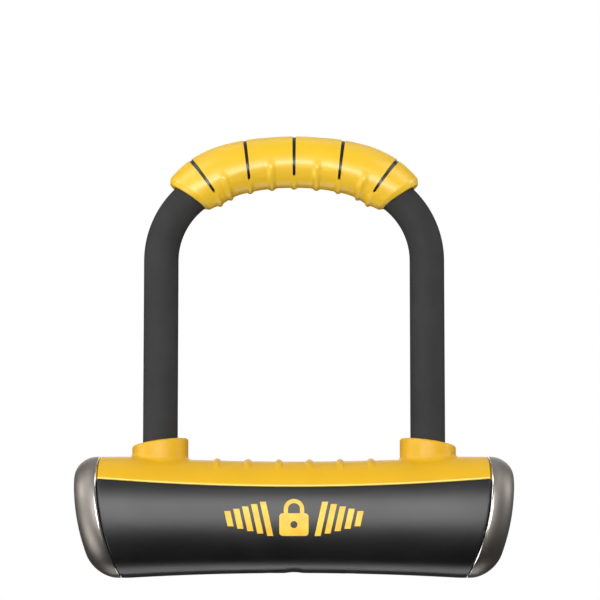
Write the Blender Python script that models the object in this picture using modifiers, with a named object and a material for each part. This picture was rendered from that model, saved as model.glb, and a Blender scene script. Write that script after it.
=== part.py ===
"""A mini U-lock for a bicycle: a coated steel shackle with a padded grip, plugged into a crossbar.

The crossbar lies along X, its front faces -Y and the shackle stands up along +Z. The origin is under
the middle of the crossbar, on the surface that it stands on. The lock is shown closed and unlocked.
Sizes are in millimetres here, and every mesh is made in metres.
"""

import math

import bmesh
import bpy
from mathutils import Matrix, Vector

MM = 0.001
GAP = 0.3
COLLECTION = "mini_u_lock"

# How far cutters reach past the face they open, across the lock and along it.
PAST = 5.0
ACROSS = 40.0
ALONG = 100.0

# Shackle: straight legs, two shoulder arcs and a flatter crown arc.
LEG_X = 52.0
LEG_END_Z = 15.5
CROWN_Z = 161.6
SHOULDER_RADIUS = 32.9
CROWN_HALF_ANGLE = math.radians(28.8)
BAR_RADIUS = 6.3
BAR_CHAMFER = 1.2
COATING_INNER_RADIUS = 6.42
COATING_OUTER_RADIUS = 6.78
COATING_END_Z = 43.0
BAR_SIDES = 16

# Grip over the crown: how far it stands out of the shackle's centre line, by distance from the crown.
GRIP_BORE_RADIUS = 7.2
GRIP_END = 43.7
GRIP_END_LEAN = 0.26
GRIP_TOP = ((0, 11.6), (10, 11.75), (20, 12.45), (28, 13.1), (34, 12.75), (40, 11.5), (44, 10.0))
GRIP_UNDER = ((0, 8.7), (14, 8.3), (22.5, 7.85), (28, 7.95), (34, 8.6), (44, 8.2))
GRIP_SIDE = ((0, 10.3), (28, 10.7), (36, 10.3), (44, 8.9))
GRIP_RIM_STEP = 0.7
GRIP_SLOTS = ((0.0, 0.0), (18.25, -0.137), (34.55, 0.129))
GRIP_SLOT_WIDTH = 1.35
GRIP_SLOT_DEPTH = 1.0
GRIP_SLOT_WALL = 0.06
GRIP_SLOT_FLOOR = -5.0
GRIP_RIBS = (0.0, 9.1, 18.25, 28.6, 34.55)
GRIP_RIB_WIDTH = 2.9
GRIP_RIB_HEIGHT = 0.9
GRIP_PLAIN_STATIONS = (4.5, 13.5, 24.0, 31.6, 38.5, 42.5)
GRIP_SIDES = 20

# Crossbar skin: a rounded section that is slimmer at the waist, with a narrow flat sole.
CROSSBAR_Z = 23.15
SECTION_POWER = 2.5
WAIST_HALF_Y = 20.0
WAIST_HALF_Z = 21.3
FLARE_Y = 2.0
FLARE_Z = 1.85
FLARE_X = 64.0
SOLE_HALF_Y = 8.0
CROSSBAR_SIDES = 40
COVER_SEAM_WAIST_Z = 33.45
COVER_SEAM_RISE = 3.05

# Crossbar ends: the caps' outer faces and the seams behind them are arcs seen from the front.
CAP_SEAM_X = 75.5
CAP_SEAM_Z = 36.5
CAP_SEAM_RADIUS = 85.0
SEAM_HALF_HEIGHT = 30.0
CAP_FACE_X = 85.1
CAP_FACE_Z = 35.0
CAP_FACE_RADIUS = 77.0
CAP_FACE_CROWN = 0.8
CAP_FILLET = 8.0

# Collars and finger ribs of the top cover. The collar's profile runs up it, as how far it stands out of
# the collar's radius, how far down it is and how much of the lean it takes.
COLLAR_RADIUS = 10.9
COLLAR_TOP_Z = 52.2
COLLAR_LEAN = 0.139
COLLAR_PROFILE = (
    (1.6, 15.6, 0), (1.6, 6.6, 0), (0.5, 5.4, 0), (0.0, 4.2, 1), (0.0, 0.9, 1), (-0.3, 0.3, 1),
    (-0.9, 0.0, 1),
)
COLLAR_LIP_Z = 49.0
BUSHING_BORE_RADIUS = 9.2
LEG_BORE_RADIUS = 7.35
COVER_RIB_COUNT = 6
COVER_RIB_PITCH = 11.9
COVER_RIB_RADIUS = 1.65
COVER_RIB_SINK = 0.45
COVER_RIB_SPREAD = math.radians(38.0)
COVER_RIB_RUNOUT = (0.6, 1.7)

# Hardened housing tube inside the skin.
HOUSING_HALF_X = 73.0
HOUSING_HALF_Y = 16.6
HOUSING_HALF_Z = 17.8
HOUSING_CORNER = 9.5
HOUSING_WALL = 2.6
END_PLUG_LENGTH = 4.7
END_PIN_RADIUS = 1.5
PIN_SINK = 0.2
LEG_HOLE_RADIUS = 6.8
BUSHING_RADIUS = 8.9
SEAT_RADIUS = 8.5
SEAT_TOP_Z = 20.0

# Lock cylinder, its key at the sole.
CYLINDER_RADIUS = 8.2
CYLINDER_LOW_Z = 5.4
CYLINDER_TOP_Z = 24.3
CYLINDER_FLANGE_RADIUS = 9.4
CYLINDER_FLANGE_Z = (8.6, 10.2)
PLUG_RADIUS = 6.0
PLUG_LOW_Z = 5.6
PLUG_TOP_Z = 25.0
DISC_RADIUS = 4.3
DISC_PITCH = 1.95
DISC_THICKNESS = 1.45
DISC_LOW_Z = 9.1
DISC_COUNT = 6
KEYWAY = (7.4, 2.4)
RETAINING_PIN_Z = 15.0
RETAINING_PIN_RADIUS = 1.2
GUARD_Z = (7.6, 8.8)
SCREW_RADIUS = 1.6
SCREW_LOW_Z = 22.2
SCREW_HEAD_RADIUS = 3.2
SCREW_HEAD_HEIGHT = 1.8
SCREW_RECESS_RADIUS = 1.2
SCREW_RECESS_DEPTH = 1.0

# Bolt work: the cam drives two slides apart, and each slide carries two bolts.
TURN = math.radians(90.0)
BOLT_TRAVEL = 3.2
CAM_RADIUS = 10.8
CAM_LOW_Z = 25.3
CAM_TOP_Z = 27.9
FOLLOWER_Y = 6.0
FOLLOWER_RADIUS = 1.2
SLIDE_LOW_Z = 28.6
SLIDE_TOP_Z = 32.6
SLIDE_BAR_Y = (7.8, 12.8)
SLIDE_ARM_Y = -4.0
SLIDE_LUG = (4.0, 3.9)
INNER_ARM_X = (31.5, 35.5)
OUTER_ARM_X = (63.7, 66.8)
BOLT_Z = 30.6
BOLT_RADIUS = 3.2
BOLT_CLEARANCE = 0.5
NOTCH_DEPTH = 3.0
NOTCH_HALF_Z = 3.6
GUIDE_X = (39.2, 43.2)
GUIDE_HALF_Y = 7.4

# Sliding dust cover over the keyhole.
BEZEL_X = (-8.8, 20.5)
BEZEL_HALF_Y = 7.0
BEZEL_Z = (2.45, 5.0)
BEZEL_CORNER = 3.0
CHANNEL_X = (-7.3, 18.9)
CHANNEL_HALF_Y = 5.6
CHANNEL_Z = (3.0, 4.2)
WINDOW_X = (-6.2, 17.8)
WINDOW_HALF_Y = 4.3
KEYHOLE_RADIUS = 4.2
DUST_COVER_X = (-7.0, 6.3)
SCOOP_HALF_X = 4.0
SCOOP_DEPTH = 0.5

BLACK_PLASTIC = ((0.012, 0.012, 0.013), 0.34, 0.0)
YELLOW_PLASTIC = ((0.80, 0.42, 0.03), 0.38, 0.0)
YELLOW_RUBBER = ((0.86, 0.50, 0.05), 0.42, 0.0)
BLACK_VINYL = ((0.032, 0.032, 0.033), 0.55, 0.0)
SATIN_NICKEL = ((0.42, 0.38, 0.34), 0.32, 1.0)
HARD_STEEL = ((0.36, 0.36, 0.37), 0.35, 1.0)
ZINC_STEEL = ((0.62, 0.62, 0.60), 0.30, 1.0)
BRASS = ((0.72, 0.52, 0.22), 0.30, 1.0)
NYLON = ((0.05, 0.05, 0.05), 0.5, 0.0)


def clear_scene():
    for thing in list(bpy.data.objects):
        bpy.data.objects.remove(thing, do_unlink=True)
    for group in list(bpy.data.collections):
        bpy.data.collections.remove(group)


def new_collection(name):
    group = bpy.data.collections.new(name)
    bpy.context.scene.collection.children.link(group)
    return group


def new_material(name, finish):
    colour, roughness, metallic = finish
    material = bpy.data.materials.new(name)
    material.use_nodes = True
    shader = material.node_tree.nodes["Principled BSDF"]
    shader.inputs["Base Color"].default_value = (*colour, 1.0)
    shader.inputs["Roughness"].default_value = roughness
    shader.inputs["Metallic"].default_value = metallic
    return material


def finish_part(part, finish, sharp_angle=40.0):
    """Gives a part its material and smooth shading, and files it with the lock's parts."""
    part.data.materials.clear()
    part.data.materials.append(new_material(part.name, finish))
    part.data.shade_smooth()
    part.data.set_sharp_from_angle(angle=math.radians(sharp_angle))
    PARTS.objects.link(part)
    return part


def finish_cutter(cutter):
    cutter.hide_render = True
    cutter.display_type = "WIRE"
    CUTTERS.objects.link(cutter)
    return cutter


def cut(part, cutter, operation="DIFFERENCE"):
    modifier = part.modifiers.new(f"{operation.lower()}_{cutter.name}", "BOOLEAN")
    modifier.object = cutter
    modifier.operation = operation
    modifier.solver = "EXACT"


def mesh_object(name, shape):
    """An object of a bmesh made in millimetres."""
    bmesh.ops.scale(shape, vec=(MM, MM, MM), verts=shape.verts)
    bmesh.ops.recalc_face_normals(shape, faces=shape.faces)
    mesh = bpy.data.meshes.new(name)
    shape.to_mesh(mesh)
    shape.free()
    return bpy.data.objects.new(name, mesh)


def loft(name, rings, ring_shaped=False, poles=None):
    """Skins a row of equal rings. A ring-shaped loft joins its last ring to its first."""
    shape = bmesh.new()
    rows = [[shape.verts.new(point) for point in ring] for ring in rings]
    pairs = list(zip(rows, rows[1:]))
    if ring_shaped:
        pairs.append((rows[-1], rows[0]))
    count = len(rows[0])
    for low, high in pairs:
        for i in range(count):
            j = (i + 1) % count
            shape.faces.new((low[i], low[j], high[j], high[i]))
    if poles:
        for row, pole in ((rows[0], poles[0]), (rows[-1], poles[1])):
            tip = shape.verts.new(pole)
            for i in range(count):
                shape.faces.new((row[i], row[(i + 1) % count], tip))
    elif not ring_shaped:
        shape.faces.new(rows[0])
        shape.faces.new(rows[-1])
    return mesh_object(name, shape)


def box(name, low, high):
    shape = bmesh.new()
    bmesh.ops.create_cube(shape, size=1.0)
    size = Vector(high) - Vector(low)
    bmesh.ops.scale(shape, vec=size, verts=shape.verts)
    bmesh.ops.translate(shape, vec=Vector(low) + size / 2, verts=shape.verts)
    return mesh_object(name, shape)


def rod(name, radius, start, end, sides=24):
    """A round rod from one point to another."""
    start, end = Vector(start), Vector(end)
    shape = bmesh.new()
    bmesh.ops.create_cone(
        shape, cap_ends=True, segments=sides, radius1=radius, radius2=radius, depth=(end - start).length
    )
    turn = Vector((0, 0, 1)).rotation_difference(end - start).to_matrix().to_4x4()
    bmesh.ops.transform(shape, matrix=Matrix.Translation((start + end) / 2) @ turn, verts=shape.verts)
    return mesh_object(name, shape)


def turned(name, profile, x=0.0, steps=24):
    """A solid turned about a vertical axis.

    The profile runs down its outer side. It goes from the axis to the axis, or else it is a closed
    outline that stays clear of the axis.
    """
    mesh = bpy.data.meshes.new(name)
    count = len(profile)
    edges = [(i, i + 1) for i in range(count - 1)]
    if profile[0][0] > 0.0:
        edges.append((count - 1, 0))
    mesh.from_pydata([(r * MM, 0.0, z * MM) for r, z in profile], edges, [])
    part = bpy.data.objects.new(name, mesh)
    part.location.x = x * MM
    screw = part.modifiers.new("turn", "SCREW")
    screw.steps = steps
    screw.render_steps = steps
    screw.use_merge_vertices = True
    screw.merge_threshold = 0.000001
    return part


def plate(name, outlines, low, high, plane="XY"):
    """A flat plate between two heights, from an outline and any holes, as a filled 2D curve."""
    curve = bpy.data.curves.new(name, "CURVE")
    curve.dimensions = "2D"
    curve.fill_mode = "BOTH"
    curve.extrude = (high - low) / 2 * MM
    for outline in outlines:
        spline = curve.splines.new("POLY")
        spline.points.add(len(outline) - 1)
        for point, (u, v) in zip(spline.points, outline):
            point.co = (u * MM, v * MM, 0.0, 1.0)
        spline.use_cyclic_u = True
    flat = bpy.data.objects.new(f"{name}_outline", curve)
    turns = {
        "XY": Matrix.Translation((0, 0, (low + high) / 2 * MM)),
        "XZ": Matrix.Translation((0, (low + high) / 2 * MM, 0)) @ Matrix.Rotation(math.pi / 2, 4, "X"),
    }
    flat.matrix_world = turns[plane]
    bpy.context.scene.collection.objects.link(flat)
    bpy.context.view_layer.update()
    ready = flat.evaluated_get(bpy.context.evaluated_depsgraph_get())
    mesh = bpy.data.meshes.new_from_object(ready)
    mesh.name = name
    welded = bmesh.new()
    welded.from_mesh(mesh)
    bmesh.ops.remove_doubles(welded, verts=welded.verts, dist=0.000001)
    bmesh.ops.recalc_face_normals(welded, faces=welded.faces)
    welded.to_mesh(mesh)
    welded.free()
    part = bpy.data.objects.new(name, mesh)
    part.matrix_world = flat.matrix_world
    bpy.data.objects.remove(flat)
    bpy.data.curves.remove(curve)
    return part


def circle_outline(x, y, radius, sides=16):
    turns = [2 * math.pi * i / sides for i in range(sides)]
    return [(x + radius * math.cos(a), y + radius * math.sin(a)) for a in turns]


def rounded_outline(x_range, y_range, radius, steps=5):
    """A rectangle with round corners, anticlockwise."""
    points = []
    corners = ((1, 1, 0), (0, 1, 90), (0, 0, 180), (1, 0, 270))
    for ix, iy, start in corners:
        cx = x_range[ix] + (radius if ix == 0 else -radius)
        cy = y_range[iy] + (radius if iy == 0 else -radius)
        for i in range(steps + 1):
            a = math.radians(start + 90 * i / steps)
            points.append((cx + radius * math.cos(a), cy + radius * math.sin(a)))
    return points


def slot_outline(points, radius, steps=5):
    """The outline of a groove of round ends along a row of points."""
    def side(first, second):
        step = (Vector(second) - Vector(first)).normalized()
        return math.atan2(step.y, step.x)

    headings = [side(a, b) for a, b in zip(points, points[1:])]
    headings = [headings[0], *headings, headings[-1]]
    middle = [(a + b) / 2 for a, b in zip(headings, headings[1:])]
    there = [(p, h - math.pi / 2) for p, h in zip(points, middle)]
    back = [(p, h + math.pi / 2) for p, h in zip(points, middle)][::-1]
    end = [(points[-1], middle[-1] - math.pi / 2 + math.pi * i / steps) for i in range(1, steps)]
    start = [(points[0], middle[0] + math.pi / 2 + math.pi * i / steps) for i in range(1, steps)]
    rim = there + end + back + start
    return [(p[0] + radius * math.cos(a), p[1] + radius * math.sin(a)) for p, a in rim]


def blended(stations, distance):
    """A smooth value between stations of (distance, value)."""
    for (a, low), (b, high) in zip(stations, stations[1:]):
        if distance <= b:
            t = max(0.0, (distance - a) / (b - a))
            return low + (high - low) * t * t * (3 - 2 * t)
    return stations[-1][1]


def signed_power(value, power):
    return math.copysign(abs(value) ** power, value)


# Shackle ---------------------------------------------------------------------------------------------

CROWN_RADIUS = (
    LEG_X - SHOULDER_RADIUS * (1 - math.sin(CROWN_HALF_ANGLE))
) / math.sin(CROWN_HALF_ANGLE)
CROWN_LENGTH = CROWN_RADIUS * CROWN_HALF_ANGLE
SHOULDER_LENGTH = SHOULDER_RADIUS * (math.pi / 2 - CROWN_HALF_ANGLE)


def shackle_frame(distance):
    """The centre line's point, tangent and outward normal, by signed distance from the crown."""
    side = math.copysign(1.0, distance)
    along = abs(distance)
    centre_z = CROWN_Z - CROWN_RADIUS
    shoulder_x = (CROWN_RADIUS - SHOULDER_RADIUS) * math.sin(CROWN_HALF_ANGLE)
    shoulder_z = centre_z + (CROWN_RADIUS - SHOULDER_RADIUS) * math.cos(CROWN_HALF_ANGLE)
    if along < CROWN_LENGTH:
        angle = along / CROWN_RADIUS
        x = CROWN_RADIUS * math.sin(angle)
        z = centre_z + CROWN_RADIUS * math.cos(angle)
    else:
        angle = min(CROWN_HALF_ANGLE + (along - CROWN_LENGTH) / SHOULDER_RADIUS, math.pi / 2)
        x = shoulder_x + SHOULDER_RADIUS * math.sin(angle)
        z = shoulder_z + SHOULDER_RADIUS * math.cos(angle)
        z -= max(0.0, along - CROWN_LENGTH - SHOULDER_LENGTH)
    point = Vector((side * x, 0, z))
    tangent = Vector((math.cos(angle), 0, -side * math.sin(angle)))
    normal = Vector((side * math.sin(angle), 0, math.cos(angle)))
    return point, tangent, normal


def shackle_ring(distance, radius):
    point, _, normal = shackle_frame(distance)
    turns = [2 * math.pi * i / BAR_SIDES for i in range(BAR_SIDES)]
    return [point + radius * (math.cos(a) * normal + math.sin(a) * Vector((0, 1, 0))) for a in turns]


def leg_distance(z):
    """How far along the centre line a leg comes down to a height."""
    straight_top = shackle_frame(CROWN_LENGTH + SHOULDER_LENGTH)[0].z
    return CROWN_LENGTH + SHOULDER_LENGTH + straight_top - z


def bend_distances(end):
    """Stations from one leg's end over the crown to the other's."""
    crown = [CROWN_LENGTH * i / 4 for i in range(4)]
    shoulder = [CROWN_LENGTH + SHOULDER_LENGTH * i / 8 for i in range(9)]
    half = crown + shoulder + [end]
    return [-s for s in half[:0:-1]] + half


def make_shackle():
    end = leg_distance(LEG_END_Z)
    stations = bend_distances(end - BAR_CHAMFER)
    rings = [shackle_ring(s, BAR_RADIUS) for s in stations]
    tip_radius = BAR_RADIUS - BAR_CHAMFER
    rings = [shackle_ring(-end, tip_radius), *rings, shackle_ring(end, tip_radius)]
    bar = finish_part(loft("shackle_bar", rings), HARD_STEEL)
    for side in (-1, 1):
        for face in (-1, 1):
            floor = side * LEG_X + face * (BAR_RADIUS - NOTCH_DEPTH)
            past = floor + face * 2 * NOTCH_DEPTH
            low = (min(floor, past), -BAR_RADIUS - PAST, BOLT_Z - NOTCH_HALF_Z)
            high = (max(floor, past), BAR_RADIUS + PAST, BOLT_Z + NOTCH_HALF_Z)
            cut(bar, finish_cutter(box("leg_notch", low, high)))

    stations = bend_distances(leg_distance(COATING_END_Z))
    outer = [shackle_ring(s, COATING_OUTER_RADIUS) for s in stations]
    inner = [shackle_ring(s, COATING_INNER_RADIUS) for s in reversed(stations)]
    finish_part(loft("shackle_coating", outer + inner, ring_shaped=True), BLACK_VINYL)


def grip_lean(distance):
    """How far a line round the grip leans along it, for each millimetre above the centre line."""
    leans = (*GRIP_SLOTS, (GRIP_END, GRIP_END_LEAN))
    return math.copysign(1.0, distance) * blended(leans, abs(distance))


def grip_point(distance, angle, depth=0.0):
    """A point of the grip's skin, by distance from the crown and angle round it from the top."""
    along = min(abs(distance), GRIP_END)
    top, under, side = (blended(s, along) for s in (GRIP_TOP, GRIP_UNDER, GRIP_SIDE))
    for rib in GRIP_RIBS:
        off = abs(along - rib) / (GRIP_RIB_WIDTH / 2)
        under += GRIP_RIB_HEIGHT * math.sqrt(max(0.0, 1 - off * off))
    above = (top if math.cos(angle) > 0 else under) * math.cos(angle)
    for slot, _ in GRIP_SLOTS:
        inside = abs(along - slot) < GRIP_SLOT_WIDTH / 2 - GRIP_SLOT_WALL / 2
        if inside and above > GRIP_SLOT_FLOOR:
            depth += GRIP_SLOT_DEPTH
    point, tangent, normal = shackle_frame(distance)
    shrink = 1 - depth / max(top, side)
    point = point + tangent * grip_lean(distance) * above
    return point + shrink * (above * normal + side * math.sin(angle) * Vector((0, 1, 0)))


def grip_stations():
    """Distances on one side of the crown that hold each slot's edges and each rib's section."""
    half = GRIP_SLOT_WIDTH / 2
    marks = set(GRIP_PLAIN_STATIONS)
    for slot, _ in GRIP_SLOTS:
        marks |= {slot - half, slot - half + GRIP_SLOT_WALL, slot + half - GRIP_SLOT_WALL, slot + half}
    for rib in GRIP_RIBS:
        marks |= {rib - GRIP_RIB_WIDTH / 2, rib, rib + GRIP_RIB_WIDTH / 2}
    return sorted(mark for mark in marks if mark >= 0.0)


def make_grip():
    turns = [2 * math.pi * i / GRIP_SIDES for i in range(GRIP_SIDES)]
    half = grip_stations()
    stations = [-s for s in half[:0:-1]] + half
    outer = [[grip_point(s, a) for a in turns] for s in stations]
    rims = [[grip_point(side * GRIP_END, a, depth=GRIP_RIM_STEP) for a in turns] for side in (-1, 1)]

    def bore_ring(distance):
        point, tangent, normal = shackle_frame(distance)
        lean = grip_lean(distance) if abs(distance) == GRIP_END else 0.0
        ring = []
        for a in turns:
            above = GRIP_BORE_RADIUS * math.cos(a)
            across = GRIP_BORE_RADIUS * math.sin(a) * Vector((0, 1, 0))
            ring.append(point + above * normal + across + tangent * lean * above)
        return ring

    inside = [s for s in bend_distances(GRIP_END) if abs(s) < GRIP_END - 2 * GRIP_RIM_STEP]
    bore = [bore_ring(s) for s in (GRIP_END, *reversed(inside), -GRIP_END)]
    rings = [rims[0], *outer, rims[1], *bore]
    finish_part(loft("grip", rings, ring_shaped=True), YELLOW_RUBBER, sharp_angle=50.0)


# Crossbar skin ---------------------------------------------------------------------------------------


def section_point(x, angle):
    """A point of the crossbar's outer section at x, by angle from +Y towards +Z."""
    flare = min(abs(x) / FLARE_X, 1.0) ** 2
    half_y = WAIST_HALF_Y + FLARE_Y * flare
    half_z = WAIST_HALF_Z + FLARE_Z * flare
    y = half_y * signed_power(math.cos(angle), 2 / SECTION_POWER)
    z = half_z * signed_power(math.sin(angle), 2 / SECTION_POWER)
    if z < 0:
        sole = (1 - (SOLE_HALF_Y / half_y) ** SECTION_POWER) ** (-1 / SECTION_POWER)
        z = max(z * sole, -half_z)
    return Vector((x, y, CROSSBAR_Z + z))


def arc_x(z, tip_x, tip_z, radius):
    """Where an upright arc, bulging along +X, stands at a height."""
    return tip_x - radius + math.sqrt(radius**2 - (z - tip_z) ** 2)


def face_x(y, z):
    """The cap's outer face, slightly crowned from front to back."""
    crown = CAP_FACE_CROWN * (y / WAIST_HALF_Y) ** 2
    return arc_x(z, CAP_FACE_X, CAP_FACE_Z, CAP_FACE_RADIUS) - crown


def crossbar_turns():
    return [2 * math.pi * i / CROSSBAR_SIDES for i in range(CROSSBAR_SIDES)]


def end_rings():
    """Rings of the crossbar's right end, over the cap's rounded edge and in across its face."""
    step = 0.02
    edge = []
    for angle in crossbar_turns():
        point = section_point(FLARE_X, angle)
        along = section_point(FLARE_X, angle + step) - section_point(FLARE_X, angle - step)
        outward = Vector((0, along.z, -along.y)).normalized()
        edge.append((point, outward))
    rings = []
    for i in range(6):
        sweep = math.radians(90 * i / 5)
        ring = []
        for point, outward in edge:
            inner = point - CAP_FILLET * (1 - math.cos(sweep)) * outward
            x = face_x(inner.y, inner.z) - CAP_FILLET * (1 - math.sin(sweep))
            ring.append(Vector((x, inner.y, inner.z)))
        rings.append(ring)
    for share in (0.66, 0.33):
        ring = []
        for point in rings[5]:
            y = point.y * share
            z = CROSSBAR_Z + (point.z - CROSSBAR_Z) * share
            ring.append(Vector((face_x(y, z), y, z)))
        rings.append(ring)
    return rings


def crossbar_solid(name):
    """The whole crossbar's outer shape, both caps included."""
    flip = Vector((-1, 1, 1))
    right = end_rings()
    left = [[point * flip for point in ring] for ring in reversed(right)]
    xs = [FLARE_X * i / 5 for i in range(-5, 6)]
    middle = [[section_point(x, a) for a in crossbar_turns()] for x in xs]
    tip = Vector((face_x(0, CROSSBAR_Z), 0, CROSSBAR_Z))
    return loft(name, left + middle + right, poles=(tip * flip, tip))


def cap_zone(side, gap):
    """The space of one end cap: everything past the seam's arc."""
    heights = [CROSSBAR_Z + SEAM_HALF_HEIGHT * (i / 10 - 1) for i in range(21)]
    seam = [(arc_x(z, CAP_SEAM_X, CAP_SEAM_Z, CAP_SEAM_RADIUS) + gap, z) for z in heights]
    outline = [*seam, (ALONG, heights[-1]), (ALONG, heights[0])]
    outline = [(side * x, z) for x, z in outline]
    return finish_cutter(plate("cap_zone", [outline], -ACROSS, ACROSS, plane="XZ"))


def cover_zone(gap):
    """The space of the top cover: everything above its seam, which dips at the waist."""
    xs = [ALONG * (i / 12 - 1) for i in range(25)]
    seam = [(x, COVER_SEAM_WAIST_Z + COVER_SEAM_RISE * (x / CAP_SEAM_X) ** 2 + gap) for x in xs]
    outline = [*seam, (ALONG, COLLAR_TOP_Z + ALONG), (-ALONG, COLLAR_TOP_Z + ALONG)]
    return finish_cutter(plate("cover_zone", [outline], -ACROSS, ACROSS, plane="XZ"))


def housing_ring(x, inset):
    """The housing's rounded section, set in by a wall or out by a gap."""
    radius = HOUSING_CORNER - inset
    outline = rounded_outline(
        (-HOUSING_HALF_Y + inset, HOUSING_HALF_Y - inset),
        (CROSSBAR_Z - HOUSING_HALF_Z + inset, CROSSBAR_Z + HOUSING_HALF_Z - inset),
        radius,
    )
    return [Vector((x, y, z)) for y, z in outline]


def housing_cavity(half_x):
    rings = [housing_ring(-half_x, -GAP), housing_ring(half_x, -GAP)]
    return finish_cutter(loft("housing_cavity", rings))


def make_end_caps():
    for side, name in ((-1, "end_cap_left"), (1, "end_cap_right")):
        cap = finish_part(crossbar_solid(name), SATIN_NICKEL)
        cut(cap, cap_zone(side, GAP / 2), "INTERSECT")
        cut(cap, housing_cavity(HOUSING_HALF_X + GAP))


def make_lower_sleeve():
    sleeve = finish_part(crossbar_solid("lower_sleeve"), BLACK_PLASTIC)
    for side in (-1, 1):
        cut(sleeve, cap_zone(side, -GAP / 2))
    cut(sleeve, cover_zone(-GAP / 2))
    cut(sleeve, housing_cavity(ALONG))
    pocket_x = (BEZEL_X[0] - GAP, BEZEL_X[1] + GAP)
    pocket_y = (-BEZEL_HALF_Y - GAP, BEZEL_HALF_Y + GAP)
    outline = rounded_outline(pocket_x, pocket_y, BEZEL_CORNER + GAP, steps=4)
    cut(sleeve, finish_cutter(plate("bezel_pocket", [outline], -PAST, CYLINDER_FLANGE_Z[1])))
    cut(sleeve, scoop())


def scoop():
    """A shallow finger scoop across the sole, over the dust cover."""
    radius = (SCOOP_HALF_X**2 + SCOOP_DEPTH**2) / (2 * SCOOP_DEPTH)
    z = CROSSBAR_Z - WAIST_HALF_Z + SCOOP_DEPTH - radius
    return finish_cutter(rod("finger_scoop", radius, (0, -ACROSS, z), (0, ACROSS, z), sides=128))


def collar_solid(side):
    """One collar, its top leaning down towards the end of the crossbar."""
    turns = [2 * math.pi * i / 24 for i in range(24)]
    rings = []
    for flare, drop, leaning in COLLAR_PROFILE:
        radius = COLLAR_RADIUS + flare
        ring = []
        for a in turns:
            across = radius * math.cos(a)
            lean = leaning * COLLAR_LEAN * side * across
            ring.append((side * LEG_X + across, radius * math.sin(a), COLLAR_TOP_Z - drop - lean))
        rings.append(ring)
    return finish_cutter(loft("collar", rings))


def cover_rib(x):
    """A round rib over the top of the cover, sunk into it and dying out down each side."""
    runout_start, runout_depth = COVER_RIB_RUNOUT
    rings = []
    steps = 8
    for i in range(steps + 1):
        angle = math.pi / 2 + COVER_RIB_SPREAD * (2 * i / steps - 1)
        point = section_point(x, angle)
        ahead = section_point(x, angle + 0.02) - section_point(x, angle - 0.02)
        outward = Vector((0, ahead.z, -ahead.y)).normalized()
        fade = max(0.0, abs(2 * i / steps - 1) - runout_start) / (1 - runout_start)
        centre = point - outward * (COVER_RIB_SINK + runout_depth * fade)
        ring = []
        for k in range(8):
            a = 2 * math.pi * (k + 0.5) / 8
            spoke = math.cos(a) * Vector((1, 0, 0)) + math.sin(a) * outward
            ring.append(centre + COVER_RIB_RADIUS * spoke)
        rings.append(ring)
    return finish_cutter(loft("cover_rib", rings))


def make_top_cover():
    cover = finish_part(crossbar_solid("top_cover"), YELLOW_PLASTIC)
    for side in (-1, 1):
        cut(cover, collar_solid(side), "UNION")
    for i in range(COVER_RIB_COUNT):
        cut(cover, cover_rib((i - (COVER_RIB_COUNT - 1) / 2) * COVER_RIB_PITCH), "UNION")
    cut(cover, cover_zone(GAP / 2), "INTERSECT")
    for side in (-1, 1):
        cut(cover, cap_zone(side, -GAP / 2))
    cut(cover, housing_cavity(ALONG))
    for side in (-1, 1):
        x = side * LEG_X
        low, lip, high = (x, 0, CROSSBAR_Z), (x, 0, COLLAR_LIP_Z), (x, 0, COLLAR_TOP_Z + PAST)
        cut(cover, finish_cutter(rod("bushing_bore", BUSHING_BORE_RADIUS, low, lip)))
        cut(cover, finish_cutter(rod("leg_bore", LEG_BORE_RADIUS, low, high)))


# Housing and what holds the legs ---------------------------------------------------------------------


def make_housing():
    ends = (-HOUSING_HALF_X, HOUSING_HALF_X)
    outer = [housing_ring(x, 0.0) for x in ends]
    inner = [housing_ring(x, HOUSING_WALL) for x in reversed(ends)]
    housing = finish_part(loft("housing_tube", outer + inner, ring_shaped=True), HARD_STEEL)
    for side in (-1, 1):
        x = side * LEG_X
        low, high = (x, 0, CROSSBAR_Z), (x, 0, CROSSBAR_Z + HOUSING_HALF_Z + PAST)
        cut(housing, finish_cutter(rod("leg_hole", LEG_HOLE_RADIUS, low, high)))
        cut(housing, end_pin_hole(side))
    low, high = (0, 0, CROSSBAR_Z - HOUSING_HALF_Z - PAST), (0, 0, CROSSBAR_Z)
    cut(housing, finish_cutter(rod("cylinder_hole", CYLINDER_RADIUS + GAP, low, high)))
    cut(housing, retaining_pin_hole())


def retaining_pin_hole():
    low, high = (0, PLUG_RADIUS + 2 * GAP, RETAINING_PIN_Z), (0, ACROSS, RETAINING_PIN_Z)
    return finish_cutter(rod("retaining_pin_hole", RETAINING_PIN_RADIUS + GAP, low, high, sides=12))


def end_pin(name, side, radius, reach):
    """A rod across the lock through one end plug."""
    x = side * (HOUSING_HALF_X - GAP - END_PLUG_LENGTH / 2)
    return rod(name, radius, (x, -reach, CROSSBAR_Z), (x, reach, CROSSBAR_Z), sides=16)


def end_pin_hole(side):
    return finish_cutter(end_pin("end_pin_hole", side, END_PIN_RADIUS + GAP, ACROSS))


def make_end_plugs():
    outside = HOUSING_HALF_X - GAP
    for side, word in ((-1, "left"), (1, "right")):
        xs = (side * (outside - END_PLUG_LENGTH), side * outside)
        rings = [housing_ring(x, HOUSING_WALL + GAP) for x in xs]
        plug = finish_part(loft(f"end_plug_{word}", rings), ZINC_STEEL)
        cut(plug, end_pin_hole(side))
        pin = end_pin(f"end_plug_pin_{word}", side, END_PIN_RADIUS, HOUSING_HALF_Y - PIN_SINK)
        finish_part(pin, ZINC_STEEL)


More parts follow.
